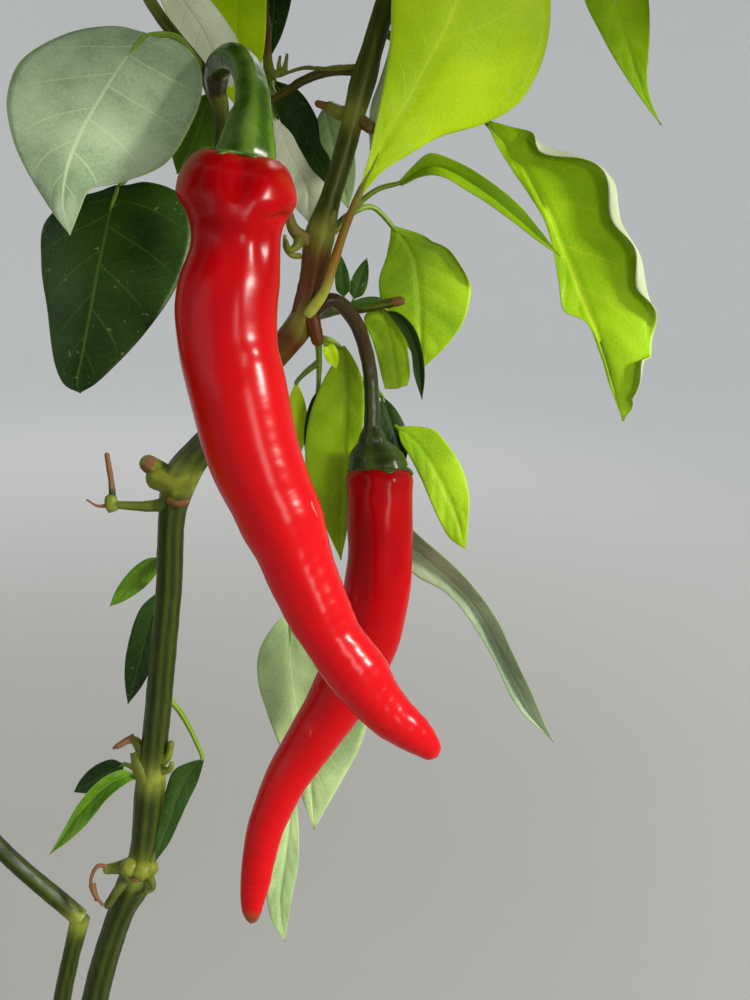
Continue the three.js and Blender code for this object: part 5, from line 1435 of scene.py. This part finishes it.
# %% The rule's numbers
crown_axis, crown_reach, crown_height = np.array([90.0, 15.0]), np.array([215.0, 185.0]), 640.0
leaf_room, space_margin, leaf_apart, leaf_tries, view_edge = 5.0, 2.0, 13.0, 3, 12
twig_share, twig_taper, fork_angle, fork_levels = 0.82, 0.8, 0.62, 2
mass_stem, first_length, first_radius = 8, 27.0, 1.5
crown_plans = {
    "crown_left": ("left_bough", (44, 34, 564), 26),
    "crown_far_left": ("left_outer_bough", (-66, 16, 536), 12),
    "crown_front_left": ("left_front_bough", (20, -86, 542), 13),
    "crown_right": ("right_bough", (136, 12, 566), 14),
    "crown_far_right": ("right_outer_bough", (238, -12, 536), 15),
    "crown_front_right": ("right_front_bough", (160, -96, 542), 16),
    "crown_rear": ("rear_bough", (90, 112, 566), 17),
    "crown_rear_left": ("rear_left_bough", (-12, 136, 530), 30),
    "crown_rear_right": ("rear_right_bough", (190, 134, 530), 29),
    "low_left_mass": ("side_arm", (-62, -4, 306), 20),
}
mass_middles = {name: np.array(middle, float) for name, (_, middle, _) in crown_plans.items()}
leaf_rooms = [
    ((164, 32, 243), (70, 234, 226), 49), ((122, 186, 253), (75, 386, 240), 41),
    ((152, -56, 274), (216, 62, 268), 24), ((240, -88, 297), (240, 112, 284), 21),
    ((280, -68, 310), (270, 58, 312), 12), ((366, 172, 255), (500, -118, 228), 42),
    ((604, -108, 240), (656, 118, 240), 19), ((488, 122, 264), (625, 420, 250), 39),
    ((293, 790, 334), (285, 943, 328), 12), ((136, 777, 302), (50, 852, 294), 17),
    ((124, 764, 312), (74, 792, 318), 11), ((201, 757, 309), (157, 860, 306), 17),
    ((158, 592, 301), (128, 702, 304), 16), ((160, 557, 302), (108, 606, 306), 10),
]


def seeded(seed):
    """The same run of numbers from 0 to 1 each time, the same as in the solids."""
    state = seed

    def draw():
        nonlocal state
        state = (state + 0x6D2B79F5) & 0xFFFFFFFF
        mixed = ((state ^ (state >> 15)) * (1 | state)) & 0xFFFFFFFF
        mixed = ((mixed + ((mixed ^ (mixed >> 7)) * (61 | mixed))) & 0xFFFFFFFF) ^ mixed
        return (mixed ^ (mixed >> 14)) / 4294967296

    return draw


stalk_half = 3.3
kept_places, kept_rooms = [], []


def keep_clear(line, radius_at):
    """Keeps leaves and twigs off a line that has some thickness."""
    for step in range(25):
        kept_places.append(line.at(step / 24))
        kept_rooms.append(radius_at(step / 24) + leaf_room)


for name, line in limb_lines.items():
    keep_clear(line, limb_widths[name])
for name, fruit in fruits.items():
    if name in far_lines:
        keep_clear(far_lines[name], far_profile)
        keep_clear(Line(stalk_plans[name][0][:3]), lambda share: stalk_half)
    else:
        half_at = lambda share: np.interp(share, fruit.shares, fruit.halves)
        keep_clear(Line(fruit.middles[2:-2:12]), half_at)
        keep_clear(Line(stalk_plans[name][0]), lambda share: stalk_half)
for base, tip, breadth in leaf_rooms:
    base, tip = seen(*base), seen(*tip)
    keep_clear(Line([base, (base + tip) / 2, tip]), lambda share: 0.4 * breadth)
kept_places, kept_rooms = np.array(kept_places), np.array(kept_rooms)
first_numbers = [round(seeded(seed)(), 4) for seed in (26, 12)]
print("kept clear", len(kept_places), "places; first numbers", first_numbers)


# %% Growing one mass
def unit(vector):
    return vector / np.linalg.norm(vector)


def turned(vector, axis, angle):
    """A vector turned about an axis."""
    spun = vector * math.cos(angle) + np.cross(axis, vector) * math.sin(angle)
    return spun + axis * np.dot(axis, vector) * (1 - math.cos(angle))


def in_view(place):
    if (place - eye) @ ahead < 1:
        return False
    across, down = as_seen(place)
    inside = abs(across - middle_across) < middle_across + view_edge
    return inside and abs(down - middle_down) < middle_down + view_edge


def is_free(place, mass):
    """True in the mass's own space, out of the laid-out view, and clear of all that is there."""
    gaps = {name: np.linalg.norm(place - middle) for name, middle in mass_middles.items()}
    own = gaps.pop(mass)
    spread = np.hypot(*((place[:2] - crown_axis) / crown_reach))
    if own + space_margin > min(gaps.values()) or in_view(place) or place[2] > crown_height or spread > 1:
        return False
    return bool((np.linalg.norm(kept_places - place, axis=1) > kept_rooms).all())


def leaf_places(leaf):
    side = unit(np.cross(leaf["face"], leaf["tip"] - leaf["base"]))
    along = lambda share: leaf["base"] + (leaf["tip"] - leaf["base"]) * share
    half = 0.5 * leaf["breadth"]
    return [along(0.15), along(0.7), leaf["tip"], along(0.4) + side * half, along(0.4) - side * half]


def crown_leaf(root, heading, turn, draw, stalk=(9, 17), blade_length=(60, 86), rise=2.0):
    """One leaf: out from its twig at a turn round it, on a petiole, with a blade that droops."""
    across = np.array([1.0, 0, 0]) if abs(heading[2]) > 0.9 else upward
    radial = turned(unit(np.cross(across, heading)), heading, turn)
    petiole = stalk[0] + (stalk[1] - stalk[0]) * draw()
    length = blade_length[0] + (blade_length[1] - blade_length[0]) * draw()
    out = unit(heading * 0.45 + radial)
    base = root + out * petiole + (0, 0, rise)
    droop = unit(out - (0, 0, 0.8 * (0.6 + draw())))
    face = unit(upward + radial * 0.3)
    return {"root": root, "base": base, "tip": base + droop * length, "face": face, "breadth": 0.5 * length}


class Mass:
    """A mass of the crown while it grows: its twigs, leaves and the places that they take up."""

    def __init__(self, name):
        bough, _, seed = crown_plans[name]
        self.name, self.middle, self.draw = name, mass_middles[name], seeded(seed)
        self.twigs, self.leaves, self.taken, self.ends = [], [], [], []
        line = limb_lines[bough]
        heading = line.heading(1)
        start = line.at(1) + heading * 0.3
        stem_end = start + heading * mass_stem
        self.twigs.append((line.at(1) - heading * 2, stem_end, limb_widths[bough](1), first_radius, 0))
        rising = unit(unit(self.middle - stem_end) * 0.65 + heading * 0.35)
        first_turn = self.draw() * 6
        self.branch(stem_end - heading * 1.5, rising, first_length, first_radius, 0, first_turn)

    def try_leaf(self, root, heading, turn, spray):
        for attempt in range(leaf_tries):
            leaf = crown_leaf(root, heading, turn + 1.3 * attempt, self.draw)
            if self.has_room(leaf, leaf_apart):
                self.keep(leaf, spray)
                return

    def has_room(self, leaf, apart):
        places = leaf_places(leaf)
        nearest = lambda place: np.linalg.norm(np.array(self.taken) - place, axis=1).min()
        if self.taken and min(nearest(place) for place in places) <= apart:
            return False
        return all(is_free(place, self.name) for place in places)

    def keep(self, leaf, spray):
        self.leaves.append({**leaf, "spray": spray})
        self.taken += leaf_places(leaf)[1:]

    def branch(self, start, heading, length, radius, level, turn):
        end = start + heading * length
        spray = len(self.twigs)
        self.twigs.append((start, end, radius, 0.85 * radius, spray))
        self.try_leaf(start + (end - start) * 0.85, heading, turn, spray)
        if level == fork_levels:
            for leaf in range(3):
                spin = turn + (leaf + 0.5) * 2 * math.pi / 3
                self.try_leaf(start + (end - start) * 0.95, heading, spin, spray)
            self.ends.append((end, heading, radius, turn))
            return
        axis = np.cross(self.middle - start, heading)
        stray = np.array([self.draw() - 0.5, self.draw() - 0.5, self.draw() - 0.5])
        axis = unit(axis + stray * (np.linalg.norm(axis) + 1))
        axis = unit(axis - heading * np.dot(axis, heading))
        for way in (-1, 1):
            child = turned(heading, axis, way * fork_angle * (0.8 + 0.4 * self.draw()))
            child = unit(child * 0.8 + unit(self.middle - end) * 0.2)
            next_turn = turn + 2.4 + self.draw()
            self.branch(end, child, length * twig_share, radius * twig_taper, level + 1, next_turn)


masses = {name: Mass(name) for name in crown_plans}
print({name: (len(mass.twigs), len(mass.leaves)) for name, mass in masses.items()})

# %% [markdown]
# ## Finer twigs
# The solids stop after two forks, because each of their leaves costs weight in a shared library. Here
# the same rule goes on: each twig's end forks again and again with younger, smaller leaves. They are
# kept to the mass's space and to the box of the solids, so the crown gets denser but no bigger.

# %% Carrying the rule on
box_low, box_high = (np.array(corner) * 1000 for corner in solid_box)
small_apart, small_tries, finest_level = 6.5, 4, 2
end_length, side_length = 15.0, 13.0


def in_box(places, margin):
    """True where every place is inside the box of the solids, by a margin in millimetres."""
    return all((place > box_low + margin).all() and (place < box_high - margin).all() for place in places)


def carry_on(mass, seed):
    draw = seeded(seed)

    def try_small(root, heading, turn, spray, size):
        for attempt in range(small_tries):
            leaf = crown_leaf(root, heading, turn + 1.57 * attempt, draw, (5, 11), size, 1.0)
            if in_box(leaf_places(leaf), 1) and mass.has_room(leaf, small_apart):
                mass.keep(leaf, spray)
                return

    def twiglet(start, heading, length, radius, level, turn, spray):
        end = start + heading * length
        if not is_free(end, mass.name) or not in_box([end], 3):
            return
        kept = len(mass.leaves)
        size = (34 - 4 * level, 56 - 6 * level)
        for share, spin in ((0.45, 0.0), (0.9, 2.4), (0.95, 4.4)):
            try_small(start + (end - start) * share, heading, turn + spin, spray, size)
        if len(mass.leaves) == kept and level > 0:
            return
        mass.twigs.append((start, end, radius, 0.75 * radius, spray))
        if level == finest_level:
            try_small(end, heading, turn, spray, (18, 30))
            return
        axis = unit(np.cross(heading, unit(np.array([draw() - 0.5, draw() - 0.5, draw() - 0.5]))))
        for way in (-1, 1):
            child = unit(turned(heading, axis, way * 0.6 * (0.7 + 0.6 * draw())) + (0, 0, 0.08))
            twiglet(end, child, length * 0.8, radius * 0.75, level + 1, turn + 2.4 + draw(), spray)

    for index, (end, heading, radius, turn) in enumerate(mass.ends):
        twiglet(end, heading, end_length, radius * 0.8, 0, turn + 1.0, len(mass.twigs) + index)
    for start, end, _, _, spray in mass.twigs[1:8]:
        way = unit(end - start)
        side = turned(unit(np.cross(end - start, upward) + 1e-6), way, 6.3 * draw())
        middle = start + (end - start) * 0.5
        twiglet(middle, unit(side + way), side_length, 0.75, 1, 6.3 * draw(), spray)


for index, mass in enumerate(masses.values()):
    carry_on(mass, 900 + index)
print({name: (len(mass.twigs), len(mass.leaves)) for name, mass in masses.items()})

# %% [markdown]
# ## A leaf for the crown
# A blade that is repeated hundreds of times has to be cheap, so it is a small grid pressed to a leaf's
# outline, folded at the midrib, given a lower side and set on each place by a tree of nodes. How far
# each one droops is a number on its point.


# %% The tree for crown leaves
def make_leaf_tree():
    make, given = new_tree("crown leaves", (
        ("Points", "Geometry"), ("Rows", "Int"), ("Columns", "Int"), ("Fold", "Float"), ("Bow", "Float"),
        ("Thickness", "Float"), ("Finish", "Material"),
    ))
    inputs = {"Size X": 2.0, "Size Y": 1.0, "Vertices X": given["Columns"], "Vertices Y": given["Rows"]}
    sheet = make.add("GeometryNodeMeshGrid", None, inputs)
    place = make.add("GeometryNodeInputPosition")
    split = make.node("ShaderNodeSeparateXYZ", None, {"Vector": place})
    across = Value(make, split.outputs[0])
    along = (Value(make, split.outputs[1]) + 0.5) * 0.97 + 0.015
    sheet = store(make, sheet, "across", across)
    sheet = store(make, sheet, "along", along)
    across, along = named(make, "across"), named(make, "along")
    belly, point = 0.36, 0.85
    rise = point * belly / (1 - belly)
    widest = belly ** rise * (1 - belly) ** point
    half = (along ** rise) * ((1 - along) ** point) * (0.5 / widest)
    lift = abs(across) * half * given["Fold"] + along * (1 - along) * given["Bow"]
    wave = (along * 9.0 + across * 1.6).cosine() * abs(across) * half * 0.09
    flat = make.add("ShaderNodeCombineXYZ", None, {"X": across * half, "Y": along, "Z": lift + wave})
    sheet = make.add("GeometryNodeSetPosition", None, {"Geometry": sheet, "Position": flat})
    down = make.add("ShaderNodeCombineXYZ", None, {"Z": given["Thickness"]})
    upper = store(make, sheet, "under", 0.0)
    inputs = {"Mesh": sheet, "Offset": down, "Individual": False}
    lower = make.add("GeometryNodeExtrudeMesh", {"mode": "FACES"}, inputs)
    top = make.add("GeometryNodeFlipFaces", None, {"Mesh": upper})
    both = make.node("GeometryNodeJoinGeometry")
    for part in (top, lower):
        make.tree.links.new(part.socket, both.inputs[0])
    inputs = {"Geometry": Value(make, both.outputs[0]), "Distance": 1e-5}
    leaf = make.add("GeometryNodeMergeByDistance", None, inputs)
    turned_by = named(make, "turned", "FLOAT_VECTOR")
    stretched_by = named(make, "stretched", "FLOAT_VECTOR")
    inputs = {"Points": given["Points"], "Instance": leaf, "Rotation": turned_by, "Scale": stretched_by}
    leaves = make.add("GeometryNodeInstanceOnPoints", None, inputs)
    leaves = make.add("GeometryNodeRealizeInstances", None, {"Geometry": leaves})
    fall = named(make, "along") ** 2.0 * named(make, "droop") * -1.0
    offset = make.add("ShaderNodeCombineXYZ", None, {"Z": fall})
    leaves = make.add("GeometryNodeSetPosition", None, {"Geometry": leaves, "Offset": offset})
    return end_tree(make, leaves, given["Finish"])


leaf_tree = make_leaf_tree()
print("leaf tree", len(leaf_tree.nodes), "nodes")

# %% [markdown]
# ## Colours by spray
# Young sprays in full light are yellow-green, old ones inside are dark. Each spray is dealt one of
# three plain greens, and the leaves of one green are one piece.

# %% Crown leaves, twigs and petioles
crown_greens = {
    "light": LeafFinish("young crown leaf", (116, 158, 30), (138, 178, 42), (168, 196, 84),
                        (170, 196, 70), (140, 168, 90), 0.5, veins=6, vein_share=0.35, coat=0.05),
    "middle": LeafFinish("crown leaf", (78, 122, 26), (98, 144, 34), (140, 174, 70),
                         (140, 170, 60), (116, 146, 84), 0.48, veins=6, vein_share=0.35, coat=0.05),
    "dark": LeafFinish("old crown leaf", (46, 82, 20), (64, 102, 28), (108, 142, 60),
                       (110, 140, 50), (94, 124, 72), 0.46, veins=6, vein_share=0.35, coat=0.05),
}
dealt = {green: [] for green in crown_greens}
young_length = 57
twig_shares = np.linspace(0, 1, 7)
twig_swell = [1.12, 1.0, 0.97, 0.95, 0.97, 1.02, 1.1]
twig_rods, crown_petiole_rods = Rods(), Rods()
shape_random = np.random.default_rng(5)
for number, mass in enumerate(masses.values()):
    for leaf in mass.leaves:
        young = np.linalg.norm(leaf["tip"] - leaf["base"]) < young_length
        lot = (leaf["spray"] * 7 + number * 3) % 10
        green = "light" if lot < (4 if young else 2) else "middle" if lot < 7 else "dark"
        dealt[green].append(leaf)
        root, base, along = leaf["root"], leaf["base"], unit(leaf["tip"] - leaf["base"])
        bend = (root + base) / 2 + (0, 0, 0.08 * np.linalg.norm(base - root))
        thick = 0.75 if not young else 0.5
        crown_petiole_rods.path([root, bend, base, base + along * 6], [thick * 1.2, thick, thick * 0.8, 0.15])
    for start, end, low, high, _ in mass.twigs:
        length = np.linalg.norm(end - start)
        bow = shape_random.normal(size=3) * 0.035 * length
        places = [start + (end - start) * share + bow * math.sin(math.pi * share) for share in twig_shares]
        radii = [(low + (high - low) * share) * part for share, part in zip(twig_shares, twig_swell)]
        twig_rods.path(places, radii, joint=near([start, end], 2.2))
crown_twigs = twig_rods.make("crown_twigs", bough_rind, 9, 4, 0.05, 0.15, 300)
crown_petioles = crown_petiole_rods.make("crown_petioles", petiole_rind, 6)
mass_names = list(crown_plans)
pieces += [(crown_twigs, mass_names, "bough"), (crown_petioles, mass_names, "stalk")]
for green, leaves in dealt.items():
    mesh = bpy.data.meshes.new("points")
    mesh.from_pydata([tuple(leaf["base"] / 1000) for leaf in leaves], [], [])
    turns, sizes, droops = [], [], []
    for leaf in leaves:
        length = np.linalg.norm(leaf["tip"] - leaf["base"])
        along = unit(leaf["tip"] - leaf["base"])
        side = unit(np.cross(along, leaf["face"]))
        turns += list(Matrix((side, along, np.cross(side, along))).transposed().to_euler())
        sizes += [leaf["breadth"] * shape_random.uniform(0.88, 1.08) / 1000, length / 1000, length / 1000]
        droops.append(shape_random.uniform(-0.02, 0.1) * length / 1000)
    leave_mark(mesh, "turned", turns, "FLOAT_VECTOR")
    leave_mark(mesh, "stretched", sizes, "FLOAT_VECTOR")
    leave_mark(mesh, "droop", droops)
    piece = grow(f"crown_leaves_{green}", mesh, leaf_tree, {
        "Rows": 7, "Columns": 5, "Fold": 0.16, "Bow": 0.26, "Thickness": 0.0075,
        "Finish": crown_greens[green].material,
    })
    pieces.append((piece, mass_names, "crown_leaf"))
    print(green, len(leaves), "leaves", len(piece.data.polygons), "faces")

# %% [markdown]
# ## Taking the solids' places
# Every piece now takes the place of the solids that it stands for, and those are hidden. A plant has no
# joints, so all of it rides on the one body. The boxes of the solids and of the dressed plant are set
# side by side in the last line.

# %% Replacing the solids
for piece, nodes, slot in pieces:
    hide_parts(*nodes)
    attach(piece, "root")
count_triangles = lambda mesh: sum(len(polygon.vertices) - 2 for polygon in mesh.polygons)
triangles = {piece.name: count_triangles(piece.data) for piece, _, _ in pieces}
print(sum(triangles.values()), "triangles, the most", max(triangles.values()))
replaced = {node for _, nodes, _ in pieces for node in nodes}
print("left plain:", sorted(set(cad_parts) - replaced))
{"cad": solid_box, "visual": [list(corner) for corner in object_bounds()]}
